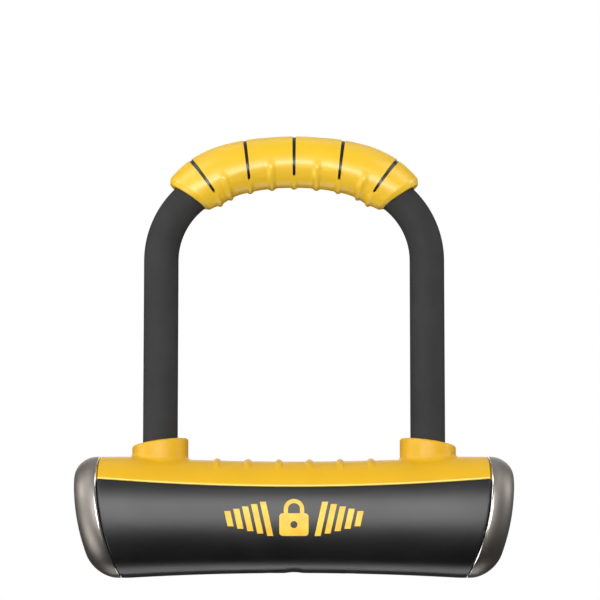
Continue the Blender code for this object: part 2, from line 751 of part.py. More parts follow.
def make_leg_supports():
    floor_z = CROSSBAR_Z - HOUSING_HALF_Z + HOUSING_WALL + GAP
    roof_z = CROSSBAR_Z + HOUSING_HALF_Z - HOUSING_WALL - GAP
    bushing_z = (CROSSBAR_Z + HOUSING_HALF_Z + GAP, COLLAR_LIP_Z - GAP)
    cup = BAR_RADIUS + GAP
    bushing_bore = COATING_OUTER_RADIUS + GAP
    for side, word in ((-1, "left"), (1, "right")):
        x = side * LEG_X
        seat = [(0.0, LEG_END_Z - GAP), (cup, LEG_END_Z - GAP), (cup, SEAT_TOP_Z)]
        seat += [(SEAT_RADIUS, SEAT_TOP_Z), (SEAT_RADIUS, floor_z), (0.0, floor_z)]
        finish_part(turned(f"leg_seat_{word}", seat, x), NYLON)
        low, high = bushing_z
        sleeve = [(BUSHING_RADIUS, high), (BUSHING_RADIUS, low), (bushing_bore, low), (bushing_bore, high)]
        finish_part(turned(f"leg_bushing_{word}", sleeve, x), NYLON)
        guide_x = sorted((side * GUIDE_X[0], side * GUIDE_X[1]))
        low = (guide_x[0], -GUIDE_HALF_Y, floor_z)
        high = (guide_x[1], GUIDE_HALF_Y, roof_z)
        guide = finish_part(box(f"bolt_guide_{word}", low, high), ZINC_STEEL)
        low, high = (guide_x[0] - PAST, 0, BOLT_Z), (guide_x[1] + PAST, 0, BOLT_Z)
        cut(guide, finish_cutter(rod("bolt_bore", BOLT_RADIUS + GAP, low, high)))


# Lock cylinder ---------------------------------------------------------------------------------------


def keyway_cutter(low, high):
    length, width = KEYWAY
    return finish_cutter(box("keyway", (-length / 2, -width / 2, low), (length / 2, width / 2, high)))


def make_cylinder():
    bore = PLUG_RADIUS + GAP
    flange_low, flange_top = CYLINDER_FLANGE_Z
    profile = [(CYLINDER_RADIUS, CYLINDER_TOP_Z), (CYLINDER_RADIUS, flange_top)]
    profile += [(CYLINDER_FLANGE_RADIUS, flange_top), (CYLINDER_FLANGE_RADIUS, flange_low)]
    profile += [(CYLINDER_RADIUS, flange_low), (CYLINDER_RADIUS, CYLINDER_LOW_Z)]
    profile += [(bore, CYLINDER_LOW_Z), (bore, CYLINDER_TOP_Z)]
    body = finish_part(turned("cylinder_body", profile), BRASS)
    cut(body, retaining_pin_hole())
    low = (0, PLUG_RADIUS + 3 * GAP, RETAINING_PIN_Z)
    high = (0, HOUSING_HALF_Y - PIN_SINK, RETAINING_PIN_Z)
    finish_part(rod("cylinder_retaining_pin", RETAINING_PIN_RADIUS, low, high, sides=12), ZINC_STEEL)

    plug = finish_part(rod("cylinder_plug", PLUG_RADIUS, (0, 0, PLUG_LOW_Z), (0, 0, PLUG_TOP_Z)), BRASS)
    stack_top = DISC_LOW_Z + DISC_COUNT * DISC_PITCH
    guard_low, guard_top = GUARD_Z
    low, high = (0, 0, guard_low - GAP), (0, 0, stack_top)
    cut(plug, finish_cutter(rod("disc_bore", DISC_RADIUS + GAP, low, high)))
    cut(plug, keyway_cutter(0.0, DISC_LOW_Z))
    low, high = (0, 0, SCREW_LOW_Z - GAP), (0, 0, PLUG_TOP_Z + PAST)
    cut(plug, finish_cutter(rod("screw_hole", SCREW_RADIUS + GAP, low, high, sides=12)))
    guard = rod("anti_drill_disc", DISC_RADIUS, (0, 0, guard_low), (0, 0, guard_top), sides=20)
    cut(finish_part(guard, HARD_STEEL), keyway_cutter(0.0, PLUG_TOP_Z))
    for i in range(DISC_COUNT):
        z = DISC_LOW_Z + i * DISC_PITCH
        low, high = (0, 0, z), (0, 0, z + DISC_THICKNESS)
        disc = rod(f"tumbler_disc_{i + 1}", DISC_RADIUS, low, high, sides=20)
        cut(finish_part(disc, BRASS), keyway_cutter(0.0, PLUG_TOP_Z))


# Bolt work -------------------------------------------------------------------------------------------


def follower_track():
    """The cam's groove: where the upper slide's follower goes, seen from the turning cam."""
    points = []
    steps = 9
    for i in range(steps + 1):
        turn = TURN * i / steps
        place = Vector((BOLT_TRAVEL * i / steps, FOLLOWER_Y))
        points.append(Matrix.Rotation(-turn, 2) @ place)
    return points


def make_cam():
    cam = rod("drive_cam", CAM_RADIUS, (0, 0, CAM_LOW_Z), (0, 0, CAM_TOP_Z), sides=36)
    finish_part(cam, ZINC_STEEL)
    for side in (1, -1):
        track = [tuple(side * p) for p in follower_track()]
        outline = slot_outline(track, FOLLOWER_RADIUS + GAP)
        cut(cam, finish_cutter(plate("cam_groove", [outline], CAM_LOW_Z - PAST, CAM_TOP_Z + PAST)))
    low, high = (0, 0, CAM_LOW_Z - PAST), (0, 0, CAM_TOP_Z + PAST)
    cut(cam, finish_cutter(rod("cam_hole", SCREW_RADIUS + GAP, low, high, sides=12)))
    head_low = CAM_TOP_Z + GAP
    head_top = head_low + SCREW_HEAD_HEIGHT
    profile = [(0.0, head_top), (SCREW_HEAD_RADIUS, head_top), (SCREW_HEAD_RADIUS, head_low)]
    profile += [(SCREW_RADIUS, head_low), (SCREW_RADIUS, SCREW_LOW_Z), (0.0, SCREW_LOW_Z)]
    screw = finish_part(turned("cam_screw", profile), ZINC_STEEL)
    recess = circle_outline(0.0, 0.0, SCREW_RECESS_RADIUS, 6)
    cut(screw, finish_cutter(plate("hex_recess", [recess], head_top - SCREW_RECESS_DEPTH, head_top + PAST)))


def slide_outline(side):
    near, far = SLIDE_BAR_Y
    inner_low, inner_high = INNER_ARM_X
    outer_low, outer_high = OUTER_ARM_X
    lug_x, lug_y = SLIDE_LUG
    points = [(-outer_high, SLIDE_ARM_Y), (-outer_low, SLIDE_ARM_Y), (-outer_low, near), (-lug_x, near)]
    points += [(-lug_x, lug_y), (lug_x, lug_y), (lug_x, near), (inner_low, near), (inner_low, SLIDE_ARM_Y)]
    points += [(inner_high, SLIDE_ARM_Y), (inner_high, far), (-outer_high, far)]
    return [(side * x, side * y) for x, y in points]


def make_bolt_work():
    leg_inside = LEG_X - BAR_RADIUS - BOLT_CLEARANCE
    leg_outside = LEG_X + BAR_RADIUS + BOLT_CLEARANCE
    for side, letter, inner, outer in ((1, "a", "right", "left"), (-1, "b", "left", "right")):
        hole = circle_outline(0.0, side * FOLLOWER_Y, FOLLOWER_RADIUS + GAP, 12)
        slide = plate(f"slide_{letter}", [slide_outline(side), hole], SLIDE_LOW_Z, SLIDE_TOP_Z)
        finish_part(slide, ZINC_STEEL)
        y = side * FOLLOWER_Y
        low, high = (0, y, CAM_LOW_Z + GAP), (0, y, SLIDE_TOP_Z)
        pin = rod(f"follower_pin_{letter}", FOLLOWER_RADIUS, low, high, sides=12)
        finish_part(pin, HARD_STEEL)
        start, tip = side * (INNER_ARM_X[1] + GAP), side * leg_inside
        bolt = rod(f"bolt_{inner}_inner", BOLT_RADIUS, (start, 0, BOLT_Z), (tip, 0, BOLT_Z))
        finish_part(bolt, HARD_STEEL)
        start, tip = -side * (OUTER_ARM_X[0] - GAP), -side * leg_outside
        bolt = rod(f"bolt_{outer}_outer", BOLT_RADIUS, (start, 0, BOLT_Z), (tip, 0, BOLT_Z))
        finish_part(bolt, HARD_STEEL)


# Keyhole ---------------------------------------------------------------------------------------------


def make_keyhole():
    half = BEZEL_HALF_Y
    outline = rounded_outline(BEZEL_X, (-half, half), BEZEL_CORNER, steps=4)
    bezel = finish_part(plate("keyhole_bezel", [outline], *BEZEL_Z), BLACK_PLASTIC)
    low = (CHANNEL_X[0], -CHANNEL_HALF_Y, CHANNEL_Z[0])
    high = (CHANNEL_X[1], CHANNEL_HALF_Y, CHANNEL_Z[1])
    cut(bezel, finish_cutter(box("dust_cover_channel", low, high)))
    low = (WINDOW_X[0], -WINDOW_HALF_Y, 0.0)
    high = (WINDOW_X[1], WINDOW_HALF_Y, (CHANNEL_Z[0] + CHANNEL_Z[1]) / 2)
    cut(bezel, finish_cutter(box("dust_cover_window", low, high)))
    low, high = (0, 0, CHANNEL_Z[0] + GAP), (0, 0, BEZEL_Z[1] + PAST)
    cut(bezel, finish_cutter(rod("keyhole", KEYHOLE_RADIUS, low, high)))

    low = (DUST_COVER_X[0], -CHANNEL_HALF_Y + GAP, CHANNEL_Z[0] + GAP)
    high = (DUST_COVER_X[1], CHANNEL_HALF_Y - GAP, CHANNEL_Z[1] - GAP)
    cover = finish_part(box("dust_cover", low, high), BLACK_PLASTIC)
    low = (WINDOW_X[0] + GAP, -WINDOW_HALF_Y + GAP, BEZEL_Z[0])
    high = (-WINDOW_X[0] - 2 * GAP, WINDOW_HALF_Y - GAP, CHANNEL_Z[0] + 2 * GAP)
    cut(cover, finish_cutter(box("thumb_pad", low, high)), "UNION")
    cut(cover, scoop())


clear_scene()
PARTS = new_collection(COLLECTION)
CUTTERS = new_collection("cutters")
make_shackle()
make_grip()
make_end_caps()
make_lower_sleeve()
make_top_cover()
make_housing()
make_end_plugs()
make_leg_supports()
make_cylinder()
make_cam()
make_bolt_work()
make_keyhole()
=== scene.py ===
"""The looks of a mini U-lock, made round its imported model.

The crossbar lies along X with its front towards -Y, and the shackle stands up along +Z. Sizes are in
millimetres here, and every mesh is made in metres.
"""

import math

import bmesh
import bpy
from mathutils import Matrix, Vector


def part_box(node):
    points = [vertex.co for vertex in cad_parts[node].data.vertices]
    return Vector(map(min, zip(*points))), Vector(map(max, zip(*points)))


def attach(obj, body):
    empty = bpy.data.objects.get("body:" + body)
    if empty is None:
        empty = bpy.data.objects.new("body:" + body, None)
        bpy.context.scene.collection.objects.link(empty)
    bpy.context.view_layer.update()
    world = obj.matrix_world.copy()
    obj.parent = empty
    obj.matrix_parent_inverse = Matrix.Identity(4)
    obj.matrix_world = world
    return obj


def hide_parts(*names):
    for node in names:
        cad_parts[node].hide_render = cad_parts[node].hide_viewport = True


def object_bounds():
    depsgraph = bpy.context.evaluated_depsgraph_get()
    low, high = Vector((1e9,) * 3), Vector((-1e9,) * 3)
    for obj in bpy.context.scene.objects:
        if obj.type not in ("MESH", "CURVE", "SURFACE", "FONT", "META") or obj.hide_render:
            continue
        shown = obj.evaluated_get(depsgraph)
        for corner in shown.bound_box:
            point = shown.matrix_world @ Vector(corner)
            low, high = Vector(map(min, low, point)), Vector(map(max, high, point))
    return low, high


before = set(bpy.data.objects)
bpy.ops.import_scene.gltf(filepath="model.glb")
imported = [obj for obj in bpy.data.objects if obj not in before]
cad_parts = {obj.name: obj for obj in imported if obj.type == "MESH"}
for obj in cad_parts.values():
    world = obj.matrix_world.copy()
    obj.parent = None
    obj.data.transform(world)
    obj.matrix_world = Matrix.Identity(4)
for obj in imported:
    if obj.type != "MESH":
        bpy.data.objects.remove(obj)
CAD_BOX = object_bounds()

MM = 0.001


def span(node, axis):
    """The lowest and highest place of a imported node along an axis, in millimetres."""
    low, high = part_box(node)
    return low[axis] / MM, high[axis] / MM


# Shackle
COATING_RADIUS = span("shackle_coating", 1)[1]
COATING_WALL = 0.36
COATING_LOW_Z, COATING_TOP_Z = span("shackle_coating", 2)
CROWN_Z = COATING_TOP_Z - COATING_RADIUS
LEG_X = span("shackle_coating", 0)[1] - COATING_RADIUS
BAR_RADIUS = span("shackle_bar", 1)[1]
LEG_END_Z = span("shackle_bar", 2)[0]
BAR_CHAMFER = 1.2
SHOULDER_RADIUS = 32.9
CROWN_HALF_ANGLE = math.radians(28.8)
CROWN_RADIUS = (
    LEG_X - SHOULDER_RADIUS * (1 - math.sin(CROWN_HALF_ANGLE))
) / math.sin(CROWN_HALF_ANGLE)
CROWN_LENGTH = CROWN_RADIUS * CROWN_HALF_ANGLE
SHOULDER_LENGTH = SHOULDER_RADIUS * (math.pi / 2 - CROWN_HALF_ANGLE)
NOTCH_FLOOR = 3.3
NOTCH_HALF_Z = 3.6

# Grip: heights over and under the centre line and half widths, by distance from the crown. A slot has a
# distance, a lean and the height of its lower end, and a rib has a distance and the height of its top.
GRIP_END = 43.7
GRIP_END_LEAN = 0.26
GRIP_BORE = 7.2
GRIP_TOP = ((0, 11.6), (10, 11.75), (20, 12.45), (28, 13.05), (34, 12.7), (40, 11.5), (44, 10.5))
GRIP_UNDER = ((0, 8.7), (14, 8.3), (22.5, 7.9), (28, 7.95), (34, 8.6), (44, 8.3))
GRIP_SIDE = ((0, 10.3), (28, 10.7), (36, 10.3), (44, 9.4))
GRIP_SLOTS = ((0.0, 0.0, -5.6), (18.25, -0.137, -4.9), (35.1, 0.129, -4.6))
GRIP_SLOT_WIDTH = 1.15
GRIP_SLOT_DEPTH = 1.1
GRIP_SLOT_EDGE = 0.06
GRIP_SLOT_SHALLOW = (7.5, 11.0)
GRIP_SLOT_LOSS = 0.65
GRIP_RIBS = ((0.0, -5.2), (9.1, 1.5), (18.3, -4.3), (28.6, 1.5), (35.1, -4.6))
GRIP_RIB_WIDTH = 3.4
GRIP_RIB_HEIGHT = 0.85
GRIP_RIB_FADE = 4.5
GRIP_SIDES = 168
GRIP_PITCH = 0.55
# Far under any skin point, so that ribs and slots leave the bore alone
GRIP_BORE_MARK = -99.0
# Distance from the end and depth below the skin
GRIP_END_ROLL = (
    (2.0, 0.0), (1.75, 0.03), (1.5, 0.12), (1.2, 0.33), (0.9, 0.6),
    (0.6, 0.87), (0.3, 1.12), (0.1, 1.36), (0.0, 1.65),
)

# Crossbar: the caps' seam and face are upright arcs, each with its tip's x and z and its radius. A cap's
# lip has its radius at the top and bottom, and at the front and back.
CROSSBAR_Z = 23.15
SECTION_POWER = 2.5
WAIST_HALF_Y = 20.0
WAIST_HALF_Z = 21.3
FLARE_Y = 2.0
FLARE_Z = 1.85
FLARE_X = 64.0
SOLE_HALF_Y = 8.0
SOLE_SOFTNESS = 0.25
SEAM_WAIST_Z = 33.2
SEAM_RISE = 3.05
SEAM_GAP = 0.08
CAP_SEAM = (75.5, 36.5, 85.0)
CAP_FACE = (85.1, 35.0, 77.0)
CAP_FACE_CROWN = 0.8
CAP_FILLET = 8.0
CAP_LIP = (0.12, 1.5)
CAP_LIP_STEPS = 7
CAP_SIDES = 176
CAP_BACK_X = 73.35
CAVITY_HALF_Y = 16.9
CAVITY_HALF_Z = 18.1
CAVITY_CORNER = 9.8
END_START = 66.0
EDGE = 0.5
COVER_ROLL = 1.3

# Collars, finger ribs and the underside's pocket. The windows are the stretches of x that they take up.
COLLAR_RADIUS = 10.9
COLLAR_FILLET = 1.5
COLLAR_TOP_Z = 52.2
COLLAR_LEAN = 0.139
COLLAR_RIM = 0.9
COLLAR_LIP_Z = 49.0
COLLAR_WINDOW = (37.0, 66.0)
LEG_HOLE = 7.35
BUSHING_BORE = 9.2
RIB_PITCH = 11.9
RIB_COUNT = 6
RIB_HEIGHT = 0.85
RIB_WIDTH = 3.0
RIB_LENGTH = 4.6
POCKET_GAP = 0.3
POCKET_CORNER = 3.3
POCKET_WINDOW = (-12.0, 24.0)
SCOOP_HALF_X = 4.0
SCOOP_DEPTH = 0.5

# Printed mark: five bars on each side of a padlock
MARK_Z = 20.6
MARK_BARS = 5
MARK_BAR_START = 7.9
MARK_BAR_PITCH = 3.6
MARK_BAR_WIDTH = 2.3
MARK_BAR_HEIGHT = 13.0
MARK_BAR_SHRINK = 1.8
MARK_BAR_LEAN = 0.22
LOCK_BODY_DROP = 2.2
LOCK_HALF_X, LOCK_HALF_Z = 5.6, 4.3
LOCK_CORNER = 1.3
LOCK_KEYHOLE = 1.35
BOW_FOOT = 1.7
BOW_OUTER, BOW_INNER = 3.9, 2.3
BOW_LEG = 2.0
INK = 0.06

# Stage, in metres
FLOOR_RADIUS = 1.2
FLOOR_FADE = (0.6, 1.15)
FLOOR_DROP = 0.0002
LIGHT_AIM = (0, 0, 0.09)
CAMERA_AIM = (0.00231, 0, 0.1082)
CAMERA_DISTANCE = 1.5
CAMERA_ELEVATION = math.radians(-8.5)
VIEW_WIDTH = 0.23465


# Node trees written as expressions ---------------------------------------------------------------------


class Value:
    """A node's output that takes part in Python arithmetic: each operator adds one Math node."""

    def __init__(self, sheet, socket):
        self.sheet = sheet
        self.socket = socket

    def __getitem__(self, name):
        return Value(self.sheet, self.socket.node.outputs[name])

    def maths(self, operation, *others):
        return self.sheet.node("ShaderNodeMath", {"operation": operation}, dict(enumerate((self, *others))))

    def __add__(self, other):
        return self.maths("ADD", other)

    __radd__ = __add__

    def __sub__(self, other):
        return self.maths("SUBTRACT", other)

    def __rsub__(self, other):
        return self.sheet.number(other).maths("SUBTRACT", self)

    def __mul__(self, other):
        return self.maths("MULTIPLY", other)

    def __truediv__(self, other):
        return self.maths("DIVIDE", other)

    def __pow__(self, other):
        return self.maths("POWER", other)

    def __abs__(self):
        return self.maths("ABSOLUTE")

    def least(self, other):
        return self.maths("MINIMUM", other)

    def most(self, other):
        return self.maths("MAXIMUM", other)

    def step(self, start, end):
        """Rises smoothly from 0 at one value to 1 at another."""
        settings = {"interpolation_type": "SMOOTHSTEP", "clamp": True}
        return self.sheet.node(
            "ShaderNodeMapRange", settings, {"Value": self, "From Min": start, "From Max": end}
        )


class Sheet:
    """A node tree, and the one way of adding a node to it."""

    def __init__(self, tree):
        self.tree = tree

    def node(self, kind, settings=None, sockets=None):
        made = self.tree.nodes.new(kind)
        for name, value in (settings or {}).items():
            setattr(made, name, value)
        for name, value in (sockets or {}).items():
            socket = made.inputs[name]
            if isinstance(value, Value):
                self.tree.links.new(value.socket, socket)
            else:
                socket.default_value = value
        shown = [socket for socket in made.outputs if socket.enabled]
        return Value(self, shown[0]) if shown else made

    def number(self, value):
        made = self.node("ShaderNodeValue")
        made.socket.default_value = value
        return made

    def mix(self, share, first, second):
        """Blends two colours. Inputs 0, 6 and 7 of the node are the share and the colours."""
        mixer = self.node("ShaderNodeMix", {"data_type": "RGBA"}).socket.node
        for place, value in ((0, share), (6, first), (7, second)):
            socket = mixer.inputs[place]
            if isinstance(value, Value):
                self.tree.links.new(value.socket, socket)
            elif isinstance(value, tuple):
                socket.default_value = (*value, 1.0)
            else:
                socket.default_value = value
        return Value(self, mixer.outputs[2])


# Materials ---------------------------------------------------------------------------------------------


class Finish(Sheet):
    """A material's node tree with its Principled shader and the textures that the finishes share."""

    def __init__(self, name, **uniform):
        self.material = bpy.data.materials.new(name)
        self.material.use_nodes = True
        super().__init__(self.material.node_tree)
        self.shader = self.tree.nodes["Principled BSDF"]
        for socket, value in uniform.items():
            self.shader.inputs[socket.replace("_", " ").title().replace("Ior", "IOR")].default_value = value
        self.place = self.node("ShaderNodeTexCoord")["Object"]

    def set(self, socket, value):
        self.tree.links.new(value.socket, self.shader.inputs[socket])

    def stretched(self, x, y, z):
        return self.node("ShaderNodeMapping", {}, {"Vector": self.place, "Scale": (x, y, z)})

    def noise(self, per_metre, detail=3.0, roughness=0.55, place=None):
        place = place or self.place
        sockets = {"Vector": place, "Scale": per_metre, "Detail": detail, "Roughness": roughness}
        return self.node("ShaderNodeTexNoise", {}, sockets)

    def cells(self, per_metre):
        return self.node("ShaderNodeTexVoronoi", {}, {"Vector": self.place, "Scale": per_metre})

    def painted(self, word):
        """The share that the mesh stores under a word at each point."""
        return self.node("ShaderNodeAttribute", {"attribute_name": word})["Fac"]

    def scratches(self, per_metre, turn, amount):
        """Fine, sparse, wandering lines: 1 on a scratch, 0 elsewhere."""
        sockets = {"Vector": self.place, "Rotation": turn, "Scale": (1, 14, 1)}
        streak = self.noise(per_metre, detail=1.0, place=self.node("ShaderNodeMapping", {}, sockets))
        sparse = self.noise(per_metre / 9, detail=2.0).step(0.5, 0.72)
        return (1 - abs(streak - 0.5).step(0.0, 0.012)) * sparse * amount

    def bump(self, height, metres):
        sockets = {"Height": height, "Distance": metres, "Strength": 1.0}
        self.set("Normal", self.node("ShaderNodeBump", {}, sockets))


def gloss_black_plastic():
    """Moulded satin black skin: faint orange peel, hairline scratches and handling haze."""
    finish = Finish("gloss_black_plastic", specular_ior_level=0.66)
    haze = finish.noise(55, detail=4.0)
    peel = finish.noise(900, detail=2.0)
    grain = finish.noise(5200, detail=2.0)
    rubbed = finish.scratches(900, (0.3, 0.2, 0.9), 1.0)
    hairline = (rubbed + finish.scratches(700, (0.9, 0.1, 2.2), 0.8)).least(1.0)
    shade = finish.mix(haze.step(0.3, 0.7), (0.0055, 0.0055, 0.006), (0.0085, 0.0085, 0.009))
    finish.set("Base Color", finish.mix(hairline * 0.25, shade, (0.05, 0.05, 0.05)))
    finish.set("Roughness", 0.36 + haze * 0.08 + grain * 0.03 + hairline * 0.12)
    finish.bump(peel * 0.5 + grain * 0.22 - hairline * 0.15, 0.00002)
    return finish.material


def yellow_skin(name, light, deep, rough, grain_size, gloss):
    """Golden moulded plastic with a fine spark-eroded grain and slightly deeper colour in patches."""
    finish = Finish(name, specular_ior_level=gloss)
    patch = finish.noise(38, detail=3.0)
    mottle = finish.noise(420, detail=4.0, roughness=0.65)
    grain = finish.cells(grain_size)["Distance"]
    fine = finish.noise(grain_size * 1.7, detail=2.0)
    scuff = finish.scratches(600, (0.7, 0.3, 0.4), 1.0)
    base = finish.mix(patch.step(0.3, 0.72), light, deep)
    base = finish.mix(mottle.step(0.62, 0.85) * 0.22, base, tuple(0.8 * c for c in deep))
    base = finish.mix(scuff * 0.3, base, tuple(min(1.0, 1.12 * c + 0.02) for c in light))
    finish.set("Roughness", rough + patch * 0.06 + fine * 0.07 + scuff * 0.08)
    return finish, base, grain * 0.6 + fine * 0.5 - scuff * 0.2


def yellow_plastic():
    """The cover's plastic, with a painted highlight along its rolled edges, where its colour is paler."""
    finish, base, relief = yellow_skin(
        "yellow_plastic", (0.755, 0.43, 0.008), (0.71, 0.395, 0.006), 0.38, 3200, 0.45
    )
    # Painted highlight: the colour turns paler on the rolled edges.
    edge = finish.painted("edge").step(0.2, 0.9)
    finish.set("Base Color", finish.mix(edge, base, (1.0, 0.80, 0.17)))
    finish.bump(relief, 0.000022)
    return finish.material


def yellow_rubber():
    """The grip's soft-touch skin. Its slots are coloured near-black inside."""
    finish, base, relief = yellow_skin(
        "yellow_rubber", (0.87, 0.55, 0.010), (0.83, 0.505, 0.008), 0.30, 2600, 0.95
    )
    # Inside the slots the colour is near-black.
    slot = finish.painted("slot").step(0.25, 0.6)
    finish.set("Base Color", finish.mix(slot, base, (0.004, 0.002, 0.001)))
    finish.bump(relief, 0.00003)
    return finish.material


def yellow_print():
    """Pad-printed ink: slightly uneven, with tiny pinholes of the body colour."""
    finish = Finish("yellow_print", ior=1.5)
    cover = finish.noise(260, detail=3.0)
    pinhole = finish.noise(6500, detail=1.0).step(0.71, 0.75)
    ink = finish.mix(cover.step(0.35, 0.65), (0.95, 0.60, 0.045), (0.88, 0.50, 0.03))
    finish.set("Base Color", finish.mix(pinhole * 0.6, ink, (0.2, 0.11, 0.02)))
    finish.set("Roughness", 0.36 + cover * 0.12)
    finish.bump(cover + finish.noise(5000) * 0.4, 0.000012)
    return finish.material


def black_vinyl():
    """Dipped vinyl: flat, with drag lines down the legs, tiny pits and a dusty bloom."""
    finish = Finish("black_vinyl", specular_ior_level=0.3)
    bloom = finish.noise(70, detail=5.0)
    drag = finish.noise(1400, detail=2.0, place=finish.stretched(1.0, 1.0, 0.05))
    pits = finish.cells(1500)["Distance"].step(0.0, 0.16)
    grain = finish.noise(4200, detail=3.0)
    base = finish.mix(bloom.step(0.3, 0.75), (0.026, 0.026, 0.027), (0.034, 0.034, 0.035))
    finish.set("Base Color", finish.mix((1 - pits) * 0.5, base, (0.016, 0.016, 0.017)))
    finish.set("Roughness", 0.66 + bloom * 0.12 + grain * 0.06)
    finish.bump(grain * 0.5 + drag * 0.35 + pits * 0.5, 0.000035)
    return finish.material


def satin_nickel():
    """Plated and brushed casting: fine lines, casting undulation, small dings and a polished lip, whose much
    paler colour is a painted highlight.
    """
    finish = Finish("satin_nickel", metallic=1.0)
    lines = finish.noise(1500, detail=4.0, roughness=0.7, place=finish.stretched(1.0, 0.035, 0.035))
    cloud = finish.noise(60, detail=3.0)
    cast = finish.noise(240, detail=2.0)
    dings = finish.cells(210)["Distance"].step(0.0, 0.05)
    tone = finish.mix(cloud.step(0.3, 0.7), (0.35, 0.32, 0.29), (0.30, 0.27, 0.245))
    tone = finish.mix((1 - lines).step(0.35, 0.75) * 0.25, tone, (0.30, 0.275, 0.245))
    # The lip is polished, with lower roughness, and its colour is painted much paler as a painted highlight.
    lip = finish.painted("lip").step(0.1, 0.9)
    tone = finish.mix((1 - dings) * 0.4, tone, (0.2, 0.18, 0.16))
    finish.set("Base Color", finish.mix(lip, tone, (0.80, 0.775, 0.74)))
    finish.set("Roughness", (0.42 + lines * 0.14 + cloud * 0.06) * (1 - lip * 0.6))
    finish.bump((lines * 0.35 + cast * 0.5 + dings * 0.4) * (1 - lip), 0.00002)
    return finish.material


def black_plastic():
    """Small mouldings with an even eroded texture, rubbed shinier in patches."""
    finish = Finish("black_plastic", ior=1.48)
    rubbed = finish.noise(160, detail=3.0).step(0.5, 0.75)
    texture = finish.cells(3600)["Distance"]
    base = finish.mix(rubbed, (0.014, 0.014, 0.0145), (0.022, 0.022, 0.023))
    finish.set("Base Color", finish.mix(texture * 0.3, base, (0.03, 0.03, 0.03)))
    finish.set("Roughness", 0.52 - rubbed * 0.14 + texture * 0.1)
    finish.bump(texture, 0.00003)
    return finish.material


def black_nylon():
    """Bushings and seats: translucent-looking dark nylon with flow marks and a soft sheen."""
    finish = Finish("black_nylon", ior=1.53)
    flow = finish.noise(300, detail=4.0, place=finish.stretched(1.0, 1.0, 0.3))
    grain = finish.noise(3800, detail=2.0)
    finish.set("Base Color", finish.mix(flow.step(0.3, 0.7), (0.028, 0.028, 0.03), (0.05, 0.05, 0.052)))
    finish.set("Roughness", 0.38 + flow * 0.14 + grain * 0.08)
    finish.bump(flow * 0.6 + grain * 0.4, 0.00002)
    return finish.material


def ground_steel():
    """Hardened steel, ground round: fine rings, a straw temper tint and spots of oil."""
    finish = Finish("hardened_steel", metallic=1.0)
    rings = finish.noise(2600, detail=3.0, roughness=0.7, place=finish.stretched(0.06, 0.06, 1.0))
    tint = finish.noise(45, detail=2.0)
    oil = finish.noise(130, detail=4.0).step(0.55, 0.72)
    tone = finish.mix(tint.step(0.35, 0.7), (0.40, 0.40, 0.41), (0.42, 0.385, 0.33))
    finish.set("Base Color", finish.mix(oil * 0.5, tone, (0.20, 0.19, 0.175)))
    finish.set("Roughness", 0.24 + rings * 0.22 - oil * 0.06)
    finish.bump(rings, 0.000018)
    return finish.material


def zinc_plate():
    """Bright zinc: spangled, with a faint yellow passivation and tumbling marks."""
    finish = Finish("zinc_plated_steel", metallic=1.0)
    spangle = finish.cells(420)["Color"]
    patch = finish.noise(90, detail=4.0)
    marks = finish.noise(1800, detail=3.0)
    warm = finish.mix(patch.step(0.35, 0.7), (0.60, 0.61, 0.61), (0.58, 0.56, 0.47))
    finish.set("Base Color", finish.mix(0.12, warm, spangle))
    finish.set("Roughness", 0.24 + patch * 0.14 + marks * 0.1)
    finish.bump(marks * 0.6 + patch * 0.5, 0.00002)
    return finish.material


def turned_brass():
    """Turned brass: fine tool marks, browner where it has tarnished."""
    finish = Finish("brass", metallic=1.0)
    tool = finish.noise(3200, detail=2.0, roughness=0.7, place=finish.stretched(0.08, 0.08, 1.0))
    tarnish = finish.noise(120, detail=5.0).step(0.48, 0.75)
    tone = finish.mix(tool, (0.80, 0.60, 0.27), (0.70, 0.50, 0.20))
    finish.set("Base Color", finish.mix(tarnish * 0.6, tone, (0.42, 0.28, 0.12)))
    finish.set("Roughness", 0.22 + tool * 0.14 + tarnish * 0.18)
    finish.bump(tool, 0.000016)
    return finish.material


FINISHES = {
    "gloss_black_plastic": gloss_black_plastic(),
    "yellow_plastic": yellow_plastic(),
    "yellow_rubber": yellow_rubber(),
    "black_vinyl": black_vinyl(),
    "satin_nickel": satin_nickel(),
    "black_plastic": black_plastic(),
    "black_nylon": black_nylon(),
    "hardened_steel": ground_steel(),
    "zinc_plated_steel": zinc_plate(),
    "brass": turned_brass(),
}
SLOT_WORDS = (
    ("leg_", "black_nylon"),
    ("housing", "hardened_steel"),
    ("anti_drill", "hardened_steel"),
    ("bolt_guide", "zinc_plated_steel"),
    ("bolt_", "hardened_steel"),
    ("follower", "hardened_steel"),
    ("cylinder_retaining", "zinc_plated_steel"),
    ("cylinder_", "brass"),
    ("tumbler", "brass"),
)


# Meshes ------------------------------------------------------------------------------------------------


def rows_of(shape, rings):
    return [[shape.verts.new(point) for point in ring] for ring in rings]


def join_rings(shape, first, second):
    count = len(first)
    for i in range(count):
        j = (i + 1) % count
        shape.faces.new((first[i], first[j], second[j], second[i]))


def fan(shape, ring, tip):
    centre = shape.verts.new(tip)
    for i in range(len(ring)):
        shape.faces.new((ring[i], ring[(i + 1) % len(ring)], centre))


def mesh_piece(name, shape, sharp=35.0):
    """An object of a bmesh made in millimetres, with its normals outwards."""
    bmesh.ops.scale(shape, vec=(MM, MM, MM), verts=shape.verts)
    bmesh.ops.recalc_face_normals(shape, faces=shape.faces)
    mesh = bpy.data.meshes.new(name)
    shape.to_mesh(mesh)
    shape.free()
    return shown(name, mesh, sharp)


def shown(name, mesh, sharp=35.0):
    mesh.shade_smooth()
    mesh.set_sharp_from_angle(angle=math.radians(sharp))
    piece = bpy.data.objects.new(name, mesh)
    bpy.context.scene.collection.objects.link(piece)
    return piece


def baked(piece, sharp=35.0):
    """The same piece with its modifiers' result as a plain mesh."""
    bpy.context.view_layer.update()
    ready = piece.evaluated_get(bpy.context.evaluated_depsgraph_get())
    mesh = bpy.data.meshes.new_from_object(ready)
    name = piece.name
    bpy.data.objects.remove(piece)
    mesh.name = name
    return shown(name, mesh, sharp)


